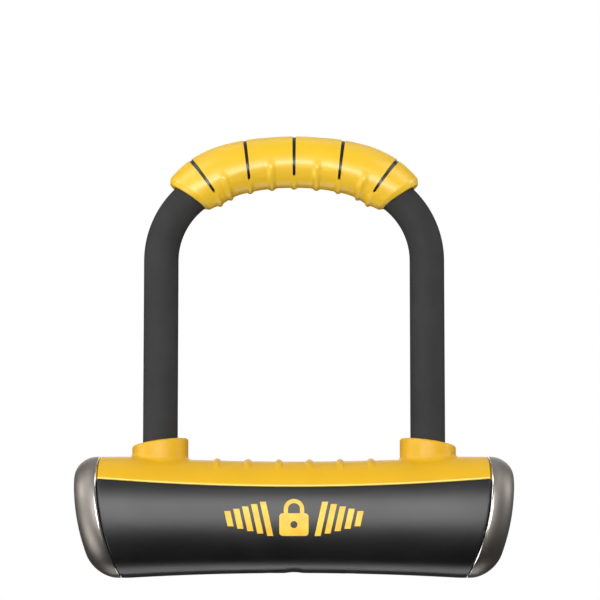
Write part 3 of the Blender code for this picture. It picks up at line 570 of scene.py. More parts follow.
def settle(piece, body, slot, *nodes, finish=None):
    """Gives a finished piece its material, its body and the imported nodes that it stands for."""
    piece.data.materials.clear()
    piece.data.materials.append(finish or FINISHES[slot])
    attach(piece, body)
    if nodes:
        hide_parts(*nodes)


def smooth_value(stations, distance):
    """A value on a smooth curve through stations of (distance, value)."""
    def slope(i):
        if i == 0:
            return 0.0
        if i == len(stations) - 1:
            i -= 1
        (a, low), (b, high) = stations[i - 1], stations[i + 1] if i + 1 < len(stations) else stations[i]
        return (high - low) / (b - a)

    for i, ((a, low), (b, high)) in enumerate(zip(stations, stations[1:])):
        if distance <= b or i == len(stations) - 2:
            t = (distance - a) / (b - a)
            h = b - a
            return (
                (2 * t**3 - 3 * t**2 + 1) * low
                + (t**3 - 2 * t**2 + t) * h * slope(i)
                + (3 * t**2 - 2 * t**3) * high
                + (t**3 - t**2) * h * slope(i + 1)
            )


def quarter_turn(steps):
    """Places on a quarter round, as shares of its radius: across from 1 to 0, and along from 0 to 1."""
    turns = [math.pi / 2 * i / steps for i in range(steps + 1)]
    return [(1 - math.sin(turn), 1 - math.cos(turn)) for turn in turns]


def edge_turns(reach, drop, steps=6):
    """Distance from an edge and depth below the skin, from the edge's wall up to the skin."""
    return [(reach * across, drop * along) for across, along in reversed(quarter_turn(steps))]


# Geometry Nodes rules ----------------------------------------------------------------------------------


class Rule(Sheet):
    """A Geometry Nodes tree with named sizes, run once on a piece."""

    def __init__(self, name, **sizes):
        tree = bpy.data.node_groups.new(name, "GeometryNodeTree")
        super().__init__(tree)
        tree.interface.new_socket("Geometry", in_out="INPUT", socket_type="NodeSocketGeometry")
        self.sizes = {}
        for word, value in sizes.items():
            made = tree.interface.new_socket(word, in_out="INPUT", socket_type="NodeSocketFloat")
            self.sizes[made.identifier] = value
        made = tree.interface.new_socket("material", in_out="INPUT", socket_type="NodeSocketMaterial")
        self.material_key = made.identifier
        tree.interface.new_socket("Geometry", in_out="OUTPUT", socket_type="NodeSocketGeometry")
        self.given = self.node("NodeGroupInput")

    def scaled(self, vector, amount):
        return self.node("ShaderNodeVectorMath", {"operation": "SCALE"}, {0: vector, "Scale": amount})

    def run(self, geometry, piece, material):
        """Ends the tree with the given geometry, and sets it as the piece's modifier."""
        real = self.node("GeometryNodeRealizeInstances", {}, {"Geometry": geometry})
        painted = self.node(
            "GeometryNodeSetMaterial", {}, {"Geometry": real, "Material": self.given["material"]}
        )
        self.node("NodeGroupOutput", {}, {"Geometry": painted})
        modifier = piece.modifiers.new(self.tree.name, "NODES")
        modifier.node_group = self.tree
        for key, value in self.sizes.items():
            modifier[key] = value
        modifier[self.material_key] = material


# Crossbar skin -----------------------------------------------------------------------------------------


def half_section(x):
    flare = min(abs(x) / FLARE_X, 1.0) ** 2
    return WAIST_HALF_Y + FLARE_Y * flare, WAIST_HALF_Z + FLARE_Z * flare


def scoop_z(x):
    """The height of the finger scoop's floor under the sole, or nothing outside it."""
    if abs(x) > SCOOP_HALF_X:
        return -math.inf
    radius = (SCOOP_HALF_X**2 + SCOOP_DEPTH**2) / (2 * SCOOP_DEPTH)
    return CROSSBAR_Z - WAIST_HALF_Z + SCOOP_DEPTH - radius + math.sqrt(radius**2 - x**2)


def skin_z(x, y, going):
    """The height of the crossbar's skin over or under a place in plan."""
    half_y, half_z = half_section(x)
    rise = max(0.0, 1 - (min(abs(y), half_y) / half_y) ** SECTION_POWER) ** (1 / SECTION_POWER)
    if going > 0:
        return CROSSBAR_Z + half_z * rise
    sole = (1 - (SOLE_HALF_Y / half_y) ** SECTION_POWER) ** (-1 / SECTION_POWER)
    over = half_z * (1 - sole * rise)
    lifted = (over + math.sqrt(over**2 + SOLE_SOFTNESS**2)) / 2
    return max(CROSSBAR_Z - half_z + lifted, scoop_z(x))


def section_point(x, angle):
    """A point of the skin's section, by angle from +Y towards +Z."""
    half_y, _ = half_section(x)
    y = half_y * math.copysign(abs(math.cos(angle)) ** (2 / SECTION_POWER), math.cos(angle))
    return Vector((x, y, skin_z(x, y, 1 if math.sin(angle) > 0 else -1)))


def section_outward(x, angle):
    along = section_point(x, angle + 0.01) - section_point(x, angle - 0.01)
    return Vector((0, along.z, -along.y)).normalized()


def cavity_point(x, angle):
    """A point of the rounded cavity inside the skin, in line with the skin's point at that angle."""
    ray = section_point(x, angle) - Vector((x, 0, CROSSBAR_Z))
    c, s = ray.normalized().y, ray.normalized().z
    flat_y, flat_z = CAVITY_HALF_Y - CAVITY_CORNER, CAVITY_HALF_Z - CAVITY_CORNER
    across = abs(c) * flat_y + abs(s) * flat_z
    reach = across + math.sqrt(max(0.0, across**2 - flat_y**2 - flat_z**2 + CAVITY_CORNER**2))
    if abs(c) * reach < flat_y:
        reach = CAVITY_HALF_Z / abs(s)
    elif abs(s) * reach < flat_z:
        reach = CAVITY_HALF_Y / abs(c)
    return Vector((x, c * reach, CROSSBAR_Z + s * reach))


def cavity_z(y, going):
    flat = CAVITY_HALF_Y - CAVITY_CORNER
    inset = max(0.0, abs(y) - flat)
    rise = CAVITY_HALF_Z - CAVITY_CORNER + math.sqrt(CAVITY_CORNER**2 - inset**2)
    return CROSSBAR_Z + going * rise


def arc_x(z, arc):
    """Where an upright arc, bulging outwards along X, stands at a height."""
    tip_x, tip_z, radius = arc
    return tip_x - radius + math.sqrt(radius**2 - (z - tip_z) ** 2)


def seam_angle(x, offset):
    """The angle at which the skin crosses the seam between the cover and the sleeve."""
    _, half_z = half_section(x)
    z = SEAM_WAIST_Z + SEAM_RISE * (x / CAP_SEAM[0]) ** 2 + offset
    return math.asin(((z - CROSSBAR_Z) / half_z) ** (SECTION_POWER / 2))


def shell_angle(x, row, going, reach_in):
    """The angle of one of a shell's rows at x, from its seam to the middle of the top or the sole."""
    mirrored, share, dist = row
    start = seam_angle(x, going * SEAM_GAP)
    speed = (section_point(x, start + 0.01) - section_point(x, start - 0.01)).length / 0.02
    reach = abs(going * math.pi / 2 - start) - reach_in / speed
    angle = start + going * (dist / speed + share * reach)
    return math.pi - angle if mirrored else angle


def shell_rows(shares, reach):
    """Rows from the back seam round to the front seam, rolled over at both edges."""
    half = [((0.0, dist), depth) for dist, depth in edge_turns(reach, EDGE)]
    half += [((share, reach), 0.0) for share in shares if 0 < share < 1]
    back = [((False, share, dist), depth) for (share, dist), depth in half]
    front = [((True, share, dist), depth) for (share, dist), depth in reversed(half)]
    return back + [((False, 1.0, reach), 0.0)] + front


def shell_columns(xs):
    """Columns from the left cap to the right cap: places at fixed x, then shares out to the cap's seam."""
    shares = (0.16, 0.32, 0.48, 0.64, 0.8, 1.0)
    right = [(1, END_START * (1 - s) - s * EDGE, s, 0.0) for s in shares]
    right += [(1, -dist, 1.0, depth) for dist, depth in reversed(edge_turns(EDGE, EDGE)[:-1])]
    left = [(-1, a, b, depth) for _, a, b, depth in reversed(right)]
    return left + [(1, x, 0.0, 0.0) for x in xs] + right


def shell_points(columns, rows, going, reach):
    """The skin's points and the cavity's points in line with them, column by column."""
    outer, inner = [], []
    for side, start, share, column_depth in columns:
        skin, lining = [], []
        for row, row_depth in rows:
            x = side * (start + share * CAP_SEAM[0])
            for _ in range(3 if share else 1):
                angle = shell_angle(x, row, going, reach)
                z = section_point(x, angle).z
                x = side * (start + share * (arc_x(z, CAP_SEAM) - SEAM_GAP))
            depth = column_depth + row_depth
            skin.append(section_point(x, angle) - depth * section_outward(x, angle))
            lining.append(cavity_point(x, angle))
        outer.append(skin)
        inner.append(lining)
    return outer, inner


def nearest(grid, x):
    """The column that stands nearest to x in the middle of a shell's grid."""
    return min(range(len(grid)), key=lambda i: abs(grid[i][len(grid[i]) // 2].x - x))


def window_rim(window):
    """The grid places round a window, each with its place on the window's unit square."""
    (i0, i1), (j0, j1) = window
    path = [(i, j0) for i in range(i0, i1)] + [(i1, j) for j in range(j0, j1)]
    path += [(i, j1) for i in range(i1, i0, -1)] + [(i0, j) for j in range(j1, j0, -1)]
    return [(i, j, 2 * (i - i0) / (i1 - i0) - 1, 2 * (j - j0) / (j1 - j0) - 1) for i, j in path]


def shell(outer, inner, windows):
    """A closed shell of two grids, with its rolled rows marked and its windows lined by rings of points."""
    shape = bmesh.new()
    edge = shape.verts.layers.float.new("edge")
    skins = [rows_of(shape, outer), rows_of(shape, inner)]
    # The rolled rows are marked, and the cover's finish paints a highlight on them.
    for column in skins[0]:
        for vert in column[1:4] + column[-4:-1]:
            vert[edge] = 1.0
    for skin in skins:
        for i in range(len(skin) - 1):
            for j in range(len(skin[0]) - 1):
                if not any(i0 <= i < i1 and j0 <= j < j1 for ((i0, i1), (j0, j1)), _ in windows):
                    corners = (skin[i][j], skin[i + 1][j], skin[i + 1][j + 1], skin[i][j + 1])
                    shape.faces.new(corners)
    around = window_rim(((0, len(outer) - 1), (0, len(outer[0]) - 1)))
    join_rings(shape, *[[skin[i][j] for i, j, _, _ in around] for skin in skins])
    for window, lining in windows:
        rim = window_rim(window)
        first, last = ([skin[i][j] for i, j, _, _ in rim] for skin in skins)
        rings = lining([v.co.copy() for v in first], [v.co.copy() for v in last], rim)
        rings = [first, *rows_of(shape, rings), last]
        for a, b in zip(rings, rings[1:]):
            join_rings(shape, a, b)
    bmesh.ops.delete(shape, geom=[v for v in shape.verts if not v.link_faces], context="VERTS")
    return shape


def between(first, second, share, height):
    """Points part of the way in plan from one ring to another, set at a height."""
    ring = []
    for a, b in zip(first, second):
        place = a.lerp(b, share)
        ring.append(Vector((place.x, place.y, height(place.x, place.y))))
    return ring


def collar_lining(side):
    """A collar's rings: patch, fillet, wall, leaning rim, leg hole, bushing bore and the inner patch."""
    centre = Vector((side * LEG_X, 0))

    def lining(first, last, rim):
        ways = [(p.xy - centre).normalized() for p in first]

        def ring(radius, height):
            places = [centre + radius * way for way in ways]
            return [Vector((p.x, p.y, height(p.x, p.y))) for p in places]

        def skin(x, y):
            return skin_z(x, y, 1)

        def top(drop):
            return lambda x, y: COLLAR_TOP_Z - drop - COLLAR_LEAN * side * (x - centre.x)

        foot = ring(COLLAR_RADIUS + COLLAR_FILLET, skin)
        rings = [between(first, foot, share, skin) for share in (0.25, 0.5, 0.75)]
        for out, up in quarter_turn(6):
            lift = COLLAR_FILLET * up
            rings.append(ring(COLLAR_RADIUS + COLLAR_FILLET * out, lambda x, y, lift=lift: skin(x, y) + lift))
        base = rings[-1]
        edge = ring(COLLAR_RADIUS, top(COLLAR_RIM))
        for share in (0.25, 0.5, 0.75):
            rings.append([a.lerp(b, share) for a, b in zip(base, edge)])
        for drop, inset in quarter_turn(5):
            rings.append(ring(COLLAR_RADIUS - COLLAR_RIM * inset, top(COLLAR_RIM * drop)))
        rings += [ring(LEG_HOLE + EDGE * out, top(EDGE * drop)) for out, drop in quarter_turn(4)]
        rings.append(ring(LEG_HOLE, lambda x, y: COLLAR_LIP_Z))
        rings.append(ring(BUSHING_BORE, lambda x, y: COLLAR_LIP_Z))
        bottom = ring(BUSHING_BORE, lambda x, y: cavity_z(y, 1))
        rings.append(bottom)
        rings += [between(bottom, last, share, lambda x, y: cavity_z(y, 1)) for share in (0.33, 0.66)]
        return rings

    return lining


def finger_ribs(cover):
    """Raises evenly spaced ribs over the middle of the cover, each fading out down its sides."""
    rule = Rule(
        "finger_ribs",
        pitch=RIB_PITCH * MM,
        reach=RIB_PITCH * RIB_COUNT / 2 * MM,
        height=RIB_HEIGHT * MM,
        half_width=RIB_WIDTH / 2 * MM,
        foot=(CROSSBAR_Z + WAIST_HALF_Z - RIB_LENGTH) * MM,
        fade=RIB_LENGTH / 2 * MM,
    )
    given = rule.given
    place = rule.node("ShaderNodeSeparateXYZ", {}, {"Vector": rule.node("GeometryNodeInputPosition")})
    normal = rule.node("GeometryNodeInputNormal")
    upward = rule.node("ShaderNodeSeparateXYZ", {}, {"Vector": normal})["Z"].step(0.0, 0.2)
    along = abs(place["X"])
    off = abs(along.maths("MODULO", given["pitch"]) - given["pitch"] * 0.5) / given["half_width"]
    ridge = 1 - off.least(1.0) ** 2
    inside = given["reach"].maths("GREATER_THAN", along)
    fade = ((place["Z"] - given["foot"]) / given["fade"]).step(0.0, 1.0)
    lift = ridge * inside * fade * upward * given["height"]
    sockets = {"Geometry": given["Geometry"], "Offset": rule.scaled(normal, lift)}
    rule.run(rule.node("GeometryNodeSetPosition", {}, sockets), cover, FINISHES["yellow_plastic"])
    return baked(cover)


def make_top_cover():
    rib_places = [RIB_PITCH * (i - (RIB_COUNT - 1) / 2) for i in range(RIB_COUNT)]
    ridge = [RIB_WIDTH / 2 * i / 7 for i in range(-8, 9)]
    xs = [place + off for place in rib_places for off in ridge]
    xs += [place + RIB_PITCH / 2 + off for place in rib_places[:-1] for off in (-2.6, -1.3, 0.0, 1.3, 2.6)]
    beside = [33.5, 35.2] + [37.0 + 1.45 * i for i in range(21)]
    xs = sorted(xs + beside + [-x for x in beside])
    columns = shell_columns(xs)
    shares = [0.03 + 0.2 * i / 9 for i in range(10)] + [0.23 + 0.77 * i / 18 for i in range(1, 18)]
    rows = shell_rows(shares, COVER_ROLL)
    outer, inner = shell_points(columns, rows, 1, COVER_ROLL)
    start = len(edge_turns(COVER_ROLL, EDGE)) + 9
    across = (start, len(rows) - 1 - start)
    windows = []
    for side in (-1, 1):
        low, high = (nearest(outer, x) for x in sorted(side * x for x in COLLAR_WINDOW))
        windows.append((((low, high), across), collar_lining(side)))
    cover = mesh_piece("top_cover_skin", shell(outer, inner, windows))
    settle(finger_ribs(cover), "crossbar", "yellow_plastic", "top_cover")


def rounded(x, y, half_x, half_y, corner):
    """A place on a rectangle's edge, pulled in where the rectangle's corner is round."""
    flat_x, flat_y = half_x - corner, half_y - corner
    if abs(x) <= flat_x or abs(y) <= flat_y:
        return x, y
    off = Vector((abs(x) - flat_x, abs(y) - flat_y)).normalized() * corner
    return math.copysign(flat_x + off.x, x), math.copysign(flat_y + off.y, y)


def pocket_lining(first, last, rim):
    """The bezel's pocket through the sole: a patch, a soft edge, the walls and an inner patch."""
    (low_x, high_x), (_, half_y) = span("keyhole_bezel", 0), span("keyhole_bezel", 1)
    middle = (low_x + high_x) / 2
    half_x, half_y = (high_x - low_x) / 2 + POCKET_GAP, half_y + POCKET_GAP

    def ring(grow, height):
        points = []
        for _, _, p, q in rim:
            grown_x, grown_y = half_x + grow, half_y + grow
            x, y = rounded(p * grown_x, q * grown_y, grown_x, grown_y, POCKET_CORNER + grow)
            points.append(Vector((middle + x, y, height(middle + x, y))))
        return points

    def sole(x, y):
        return skin_z(x, y, -1)

    mouth = ring(EDGE, sole)
    rings = [between(first, mouth, i / 8, sole) for i in range(1, 8)]
    for out, up in quarter_turn(4):
        rings.append(ring(EDGE * out, lambda x, y, lift=EDGE * up: sole(x, y) + lift))
    roof = ring(0.0, lambda x, y: cavity_z(y, -1))
    return rings + [roof] + [between(roof, last, 0.5, lambda x, y: cavity_z(y, -1))]


def make_lower_sleeve():
    xs = [-END_START + 1.5 * i for i in range(1, 88)]
    xs = [x for x in xs if abs(x) > SCOOP_HALF_X + 0.6]
    xs = sorted(xs + [0.5 * i for i in range(-8, 9)] + [-4.3, 4.3])
    columns = shell_columns(xs)
    shares = [i / 44 for i in range(1, 44)]
    rows = shell_rows(shares, EDGE)
    outer, inner = shell_points(columns, rows, -1, EDGE)
    edge = len(edge_turns(EDGE, EDGE))
    start = edge + 32
    across = (start, len(rows) - 1 - start)
    low, high = (nearest(outer, x) for x in POCKET_WINDOW)
    windows = [(((low, high), across), pocket_lining)]
    sleeve = mesh_piece("lower_sleeve_skin", shell(outer, inner, windows))
    settle(sleeve, "crossbar", "gloss_black_plastic", "lower_sleeve")


def make_end_cap(side, word):
    """A cap: a rolled lip at its seam, a rounded edge, a slanted face and a back clear of the housing."""
    turns = [2 * math.pi * i / CAP_SIDES for i in range(CAP_SIDES)]
    shares = [i / 16 for i in range(1, 17)]
    rings = [[] for _ in range(CAP_LIP_STEPS + 1 + len(shares))]
    for turn in turns:
        radius = CAP_LIP[0] + (CAP_LIP[1] - CAP_LIP[0]) * math.cos(turn) ** 2
        path = cap_path(turn)
        lengths = [0.0]
        for (a, _), (b, _) in zip(path, path[1:]):
            lengths.append(lengths[-1] + (b - a).length)
        reach = lengths[-1]
        places = edge_turns(radius, radius, CAP_LIP_STEPS)
        places += [(radius + (reach - radius) * s, 0) for s in shares]
        for ring, (dist, depth) in zip(rings, places):
            i = next(i for i in range(1, len(lengths)) if lengths[i] >= dist - 1e-6)
            t = (dist - lengths[i - 1]) / (lengths[i] - lengths[i - 1])
            point = path[i - 1][0].lerp(path[i][0], t)
            normal = path[i - 1][1].lerp(path[i][1], t).normalized()
            ring.append(point - depth * normal)
    edge = rings[-1]
    for share in (0.9, 0.78, 0.64, 0.5, 0.36, 0.22, 0.1):
        ring = []
        for point in edge:
            y, z = point.y * share, CROSSBAR_Z + (point.z - CROSSBAR_Z) * share
            ring.append(Vector((face_x(y, z), y, z)))
        rings.append(ring)
    back = [cavity_point(0, turn) for turn in turns]
    wall = [Vector((arc_x(p.z, CAP_SEAM) + SEAM_GAP, p.y, p.z)) for p in back]
    backs = [wall]
    for share in (0.998, 0.75, 0.5, 0.25):
        ring = []
        for p in back:
            y, z = p.y * share, CROSSBAR_Z + (p.z - CROSSBAR_Z) * share
            ring.append(Vector((max(arc_x(z, CAP_SEAM) + SEAM_GAP, CAP_BACK_X), y, z)))
        backs.append(ring)
    rings = backs[::-1] + rings
    tips = [
        Vector((arc_x(CROSSBAR_Z, CAP_SEAM) + SEAM_GAP, 0, CROSSBAR_Z)),
        Vector((face_x(0, CROSSBAR_Z), 0, CROSSBAR_Z)),
    ]
    flip = Vector((side, 1, 1))
    shape = bmesh.new()
    lip = shape.verts.layers.float.new("lip")
    made = rows_of(shape, [[point * flip for point in ring] for ring in rings])
    # The lip's rows are marked for the finish's polish and its painted highlight.
    for row in made[len(backs):len(backs) + CAP_LIP_STEPS]:
        for vert in row:
            vert[lip] = 1.0
    for a, b in zip(made, made[1:]):
        join_rings(shape, a, b)
    fan(shape, made[0], tips[0] * flip)
    fan(shape, made[-1], tips[1] * flip)
    name = f"end_cap_{word}"
    settle(mesh_piece(f"{name}_casting", shape), "crossbar", "satin_nickel", name)


def face_x(y, z):
    """The cap's outer face, slightly crowned from front to back."""
    return arc_x(z, CAP_FACE) - CAP_FACE_CROWN * (y / WAIST_HALF_Y) ** 2


def cap_path(turn):
    """Points and normals along the cap's outside, from its seam over its rounded edge."""
    skin, outward = section_point(FLARE_X, turn), section_outward(FLARE_X, turn)
    seam = arc_x(skin.z, CAP_SEAM) + SEAM_GAP
    start = face_x(skin.y, skin.z) - CAP_FILLET
    xs = [seam + (start - seam) * i / 6 for i in range(6) if start > seam]
    path = [(Vector((x, skin.y, skin.z)), outward) for x in xs]
    for i in range(25):
        sweep = math.pi / 2 * i / 24
        inner = skin - CAP_FILLET * (1 - math.cos(sweep)) * outward
        x = face_x(inner.y, inner.z) - CAP_FILLET * (1 - math.sin(sweep))
        if x > arc_x(inner.z, CAP_SEAM) + SEAM_GAP:
            normal = math.cos(sweep) * outward + math.sin(sweep) * Vector((1, 0, 0))
            path.append((Vector((x, inner.y, inner.z)), normal))
    return path


# Shackle -----------------------------------------------------------------------------------------------


def shackle_frame(distance):
    """The centre line's point, tangent and outward normal, by signed distance from the crown."""
    side = math.copysign(1.0, distance)
    along = abs(distance)
    centre_z = CROWN_Z - CROWN_RADIUS
    shoulder_x = (CROWN_RADIUS - SHOULDER_RADIUS) * math.sin(CROWN_HALF_ANGLE)
    shoulder_z = centre_z + (CROWN_RADIUS - SHOULDER_RADIUS) * math.cos(CROWN_HALF_ANGLE)
    if along < CROWN_LENGTH:
        angle = along / CROWN_RADIUS
        x = CROWN_RADIUS * math.sin(angle)
        z = centre_z + CROWN_RADIUS * math.cos(angle)
    else:
        angle = min(CROWN_HALF_ANGLE + (along - CROWN_LENGTH) / SHOULDER_RADIUS, math.pi / 2)
        x = shoulder_x + SHOULDER_RADIUS * math.sin(angle)
        z = shoulder_z + SHOULDER_RADIUS * math.cos(angle)
        z -= max(0.0, along - CROWN_LENGTH - SHOULDER_LENGTH)
    point = Vector((side * x, 0, z))
    tangent = Vector((math.cos(angle), 0, -side * math.sin(angle)))
    normal = Vector((side * math.sin(angle), 0, math.cos(angle)))
    return point, tangent, normal


def leg_distance(z):
    """How far along the centre line a leg comes down to a height."""
    straight_top = shackle_frame(CROWN_LENGTH + SHOULDER_LENGTH)[0].z
    return CROWN_LENGTH + SHOULDER_LENGTH + straight_top - z


def centre_line(end, pitch):
    """Distances from one leg's end over the crown to the other's, closer together round the bends."""
    bend = CROWN_LENGTH + SHOULDER_LENGTH
    half = [bend * i / round(bend / pitch) for i in range(round(bend / pitch) + 1)]
    half += [bend + (end - bend) * i / 12 for i in range(1, 13)]
    return [-s for s in half[:0:-1]] + half


def make_coating():
    """The dipped coating: a tube swept along the shackle, thickened inwards, its ends softened."""
    curve = bpy.data.curves.new("shackle_path", "CURVE")
    curve.dimensions = "3D"
    stations = centre_line(leg_distance(COATING_LOW_Z), 1.2)
    spline = curve.splines.new("POLY")
    spline.points.add(len(stations) - 1)
    for point, station in zip(spline.points, stations):
        point.co = (*(shackle_frame(station)[0] * MM), 1.0)
    piece = bpy.data.objects.new("shackle_coating_skin", curve)
    bpy.context.scene.collection.objects.link(piece)
    rule = Rule("swept_coating", radius=COATING_RADIUS * MM)
    sockets = {"Resolution": 72, "Radius": rule.given["radius"]}
    ring = rule.node("GeometryNodeCurvePrimitiveCircle", {}, sockets)
    sockets = {"Curve": rule.given["Geometry"], "Profile Curve": ring}
    rule.run(rule.node("GeometryNodeCurveToMesh", {}, sockets), piece, FINISHES["black_vinyl"])
    tube = baked(piece)
    wall = tube.modifiers.new("wall", "SOLIDIFY")
    wall.thickness = COATING_WALL * MM
    wall.offset = -1.0
    wall.use_even_offset = True
    soft = tube.modifiers.new("softened_end", "BEVEL")
    soft.width = COATING_WALL * 0.3 * MM
    soft.segments = 2
    soft.limit_method = "ANGLE"
    soft.angle_limit = math.radians(60)
    settle(baked(tube), "shackle", "black_vinyl", "shackle_coating")


def make_bar():
    """The steel bar: chamfered leg ends and a notch for a bolt on both sides of each leg."""
    sides = 48
    end = leg_distance(LEG_END_Z)
    # The chamfer is a little rounded where it starts and where it meets the side.
    rings = [(-end, BAR_RADIUS - BAR_CHAMFER), (-end + 0.15, BAR_RADIUS - BAR_CHAMFER + 0.3)]
    rings.append((-end + BAR_CHAMFER - 0.15, BAR_RADIUS - 0.08))
    rings += [(s, BAR_RADIUS) for s in centre_line(end - BAR_CHAMFER - 0.1, 4.0)]
    rings += [(-s, radius) for s, radius in rings[2::-1]]
    shape = bmesh.new()
    points = []
    for station, radius in rings:
        point, _, normal = shackle_frame(station)
        turns = [2 * math.pi * i / sides for i in range(sides)]
        ways = [math.cos(a) * normal + math.sin(a) * Vector((0, 1, 0)) for a in turns]
        points.append([point + radius * way for way in ways])
    made = rows_of(shape, points)
    for a, b in zip(made, made[1:]):
        join_rings(shape, a, b)
    shape.faces.new(made[0])
    shape.faces.new(made[-1])
    bar = mesh_piece("shackle_bar_steel", shape)
    bolt_z = sum(span("bolt_left_inner", 2)) / 2
    cutters = []
    for side in (-1, 1):
        for face in (-1, 1):
            near = side * LEG_X + face * NOTCH_FLOOR
            far = side * LEG_X + face * 2 * BAR_RADIUS
            low = Vector((min(near, far), -2 * BAR_RADIUS, bolt_z - NOTCH_HALF_Z))
            high = Vector((max(near, far), 2 * BAR_RADIUS, bolt_z + NOTCH_HALF_Z))
            cutters.append(box_cutter(low, high, 0.5))
    for cutter in cutters:
        cut = bar.modifiers.new("notch", "BOOLEAN")
        cut.object = cutter
        cut.solver = "EXACT"
    settle(baked(bar), "shackle", "hardened_steel", "shackle_bar")
    for cutter in cutters:
        bpy.data.objects.remove(cutter)


def box_cutter(low, high, corner):
    shape = bmesh.new()
    bmesh.ops.create_cube(shape, size=1.0)
    bmesh.ops.scale(shape, vec=high - low, verts=shape.verts)
    bmesh.ops.translate(shape, vec=(low + high) / 2, verts=shape.verts)
    bmesh.ops.bevel(shape, geom=shape.edges[:], offset=corner, segments=3, affect="EDGES", profile=0.5)
    return mesh_piece("cutter", shape)


# Grip --------------------------------------------------------------------------------------------------


def grip_lean(distance):
    """How far a line round the grip leans along it, for each millimetre above the centre line."""
    leans = ((0.0, 0.0), GRIP_SLOTS[1][:2], GRIP_SLOTS[2][:2], (GRIP_END, GRIP_END_LEAN))
    return math.copysign(1.0, distance) * smooth_value(leans, min(abs(distance), GRIP_END))


def grip_ring(distance, turns, depth=0.0, bore=None):
    """A ring of the grip's skin or bore, leaning with its slots and ends, and how far up each point is."""
    along = min(abs(distance), GRIP_END)
    top, under, side = (smooth_value(s, along) for s in (GRIP_TOP, GRIP_UNDER, GRIP_SIDE))
    point, tangent, normal = shackle_frame(distance)
    ring = []
    for a in turns:
        height = bore or (top if math.cos(a) > 0 else under) - depth
        above = height * math.cos(a)
        across = (bore or side - depth) * math.sin(a) * Vector((0, 1, 0))
        lean = grip_lean(distance)
        if bore and abs(distance) < GRIP_END:
            lean = 0.0
        ring.append((point + above * normal + across + tangent * lean * above, above))
    return ring


def grip_stations():
    """Distances on one side of the crown, closer together at each slot's edges."""
    marks = [GRIP_PITCH * i for i in range(int(GRIP_END / GRIP_PITCH))]
    half = GRIP_SLOT_WIDTH / 2
    for slot, _, _ in GRIP_SLOTS:
        marks = [m for m in marks if abs(m - slot) > half + 0.3]
        edges = (half + 0.25, half + 0.02, half - 0.08, half - 0.3, 0.0)
        marks += [slot + sign * edge for edge in edges for sign in (-1, 1)]
    return sorted({round(m, 4) for m in marks if 0 <= m < GRIP_END - 2.2})


def grip_body():
    """The grip without its ribs and slots, with each point's place along and above the centre line."""
    turns = [2 * math.pi * i / GRIP_SIDES for i in range(GRIP_SIDES)]
    half = [(s, 0.0) for s in grip_stations()] + [(GRIP_END - d, depth) for d, depth in GRIP_END_ROLL]
    outside = [(-s, depth) for s, depth in half[:0:-1]] + half
    rings = [(s, grip_ring(s, turns, depth=depth)) for s, depth in outside]
    inside = [GRIP_END] + [GRIP_END - 2.5 - 3.0 * i for i in range(14)]
    inside = inside + [-s for s in inside[::-1]]
    rings += [(s, grip_ring(s, turns, bore=GRIP_BORE)) for s in inside]
    shape = bmesh.new()
    along = shape.verts.layers.float.new("along")
    above = shape.verts.layers.float.new("above")
    rows = []
    for i, (station, ring) in enumerate(rings):
        row = []
        for point, height in ring:
            vert = shape.verts.new(point)
            vert[along] = abs(station) * MM
            vert[above] = (height if i < len(outside) else GRIP_BORE_MARK) * MM
            row.append(vert)
        rows.append(row)
    for a, b in zip(rows, rows[1:] + rows[:1]):
        join_rings(shape, a, b)
    return mesh_piece("grip_skin", shape, sharp=42.0)


def make_grip():
    """Presses the slots into the grip, and raises the finger ribs under it."""
    body = grip_body()
    rule = Rule(
        "grip_slots_and_ribs",
        slot_half=GRIP_SLOT_WIDTH / 2 * MM,
        slot_depth=GRIP_SLOT_DEPTH * MM,
        rib_half=GRIP_RIB_WIDTH / 2 * MM,
        rib_height=GRIP_RIB_HEIGHT * MM,
        rib_fade=GRIP_RIB_FADE * MM,
    )
    given = rule.given
    along = rule.node("GeometryNodeInputNamedAttribute", {"data_type": "FLOAT"}, {"Name": "along"})
    above = rule.node("GeometryNodeInputNamedAttribute", {"data_type": "FLOAT"}, {"Name": "above"})
    slots = None
    for place, _, floor in GRIP_SLOTS:
        short = ((floor * MM + given["slot_half"]) - above).most(0.0)
        half = (given["slot_half"] ** 2 - short ** 2).most(0.0) ** 0.5
        mask = (half - abs(along - place * MM)).step(0.0, GRIP_SLOT_EDGE * MM)
        slots = mask if slots is None else slots.most(mask)
    ribs = None
    for place, top in GRIP_RIBS:
        off = (abs(along - place * MM) / given["rib_half"]).least(1.0)
        fade = (top * MM - above).step(0.0, given["rib_fade"])
        rib = (1 - off ** 2) ** 1.5 * fade
        ribs = rib if ribs is None else ribs.most(rib)
    skin = above.maths("GREATER_THAN", GRIP_BORE_MARK / 2 * MM)
    shallow = 1 - above.step(*(height * MM for height in GRIP_SLOT_SHALLOW)) * GRIP_SLOT_LOSS
    lift = ribs * given["rib_height"] * skin - slots * shallow * given["slot_depth"]
    offset = rule.scaled(rule.node("GeometryNodeInputNormal"), lift)
    sockets = {"Geometry": given["Geometry"], "Offset": offset}
    moved = rule.node("GeometryNodeSetPosition", {}, sockets)
    # The slots' share is stored for the finish, which colours the slots near-black.
    sockets = {"Geometry": moved, "Name": "slot", "Value": slots}
    stored = rule.node("GeometryNodeStoreNamedAttribute", {"data_type": "FLOAT"}, sockets)
    rule.run(stored, body, FINISHES["yellow_rubber"])
    settle(baked(body, sharp=42.0), "shackle", "yellow_rubber", "grip")


# Printed mark ------------------------------------------------------------------------------------------


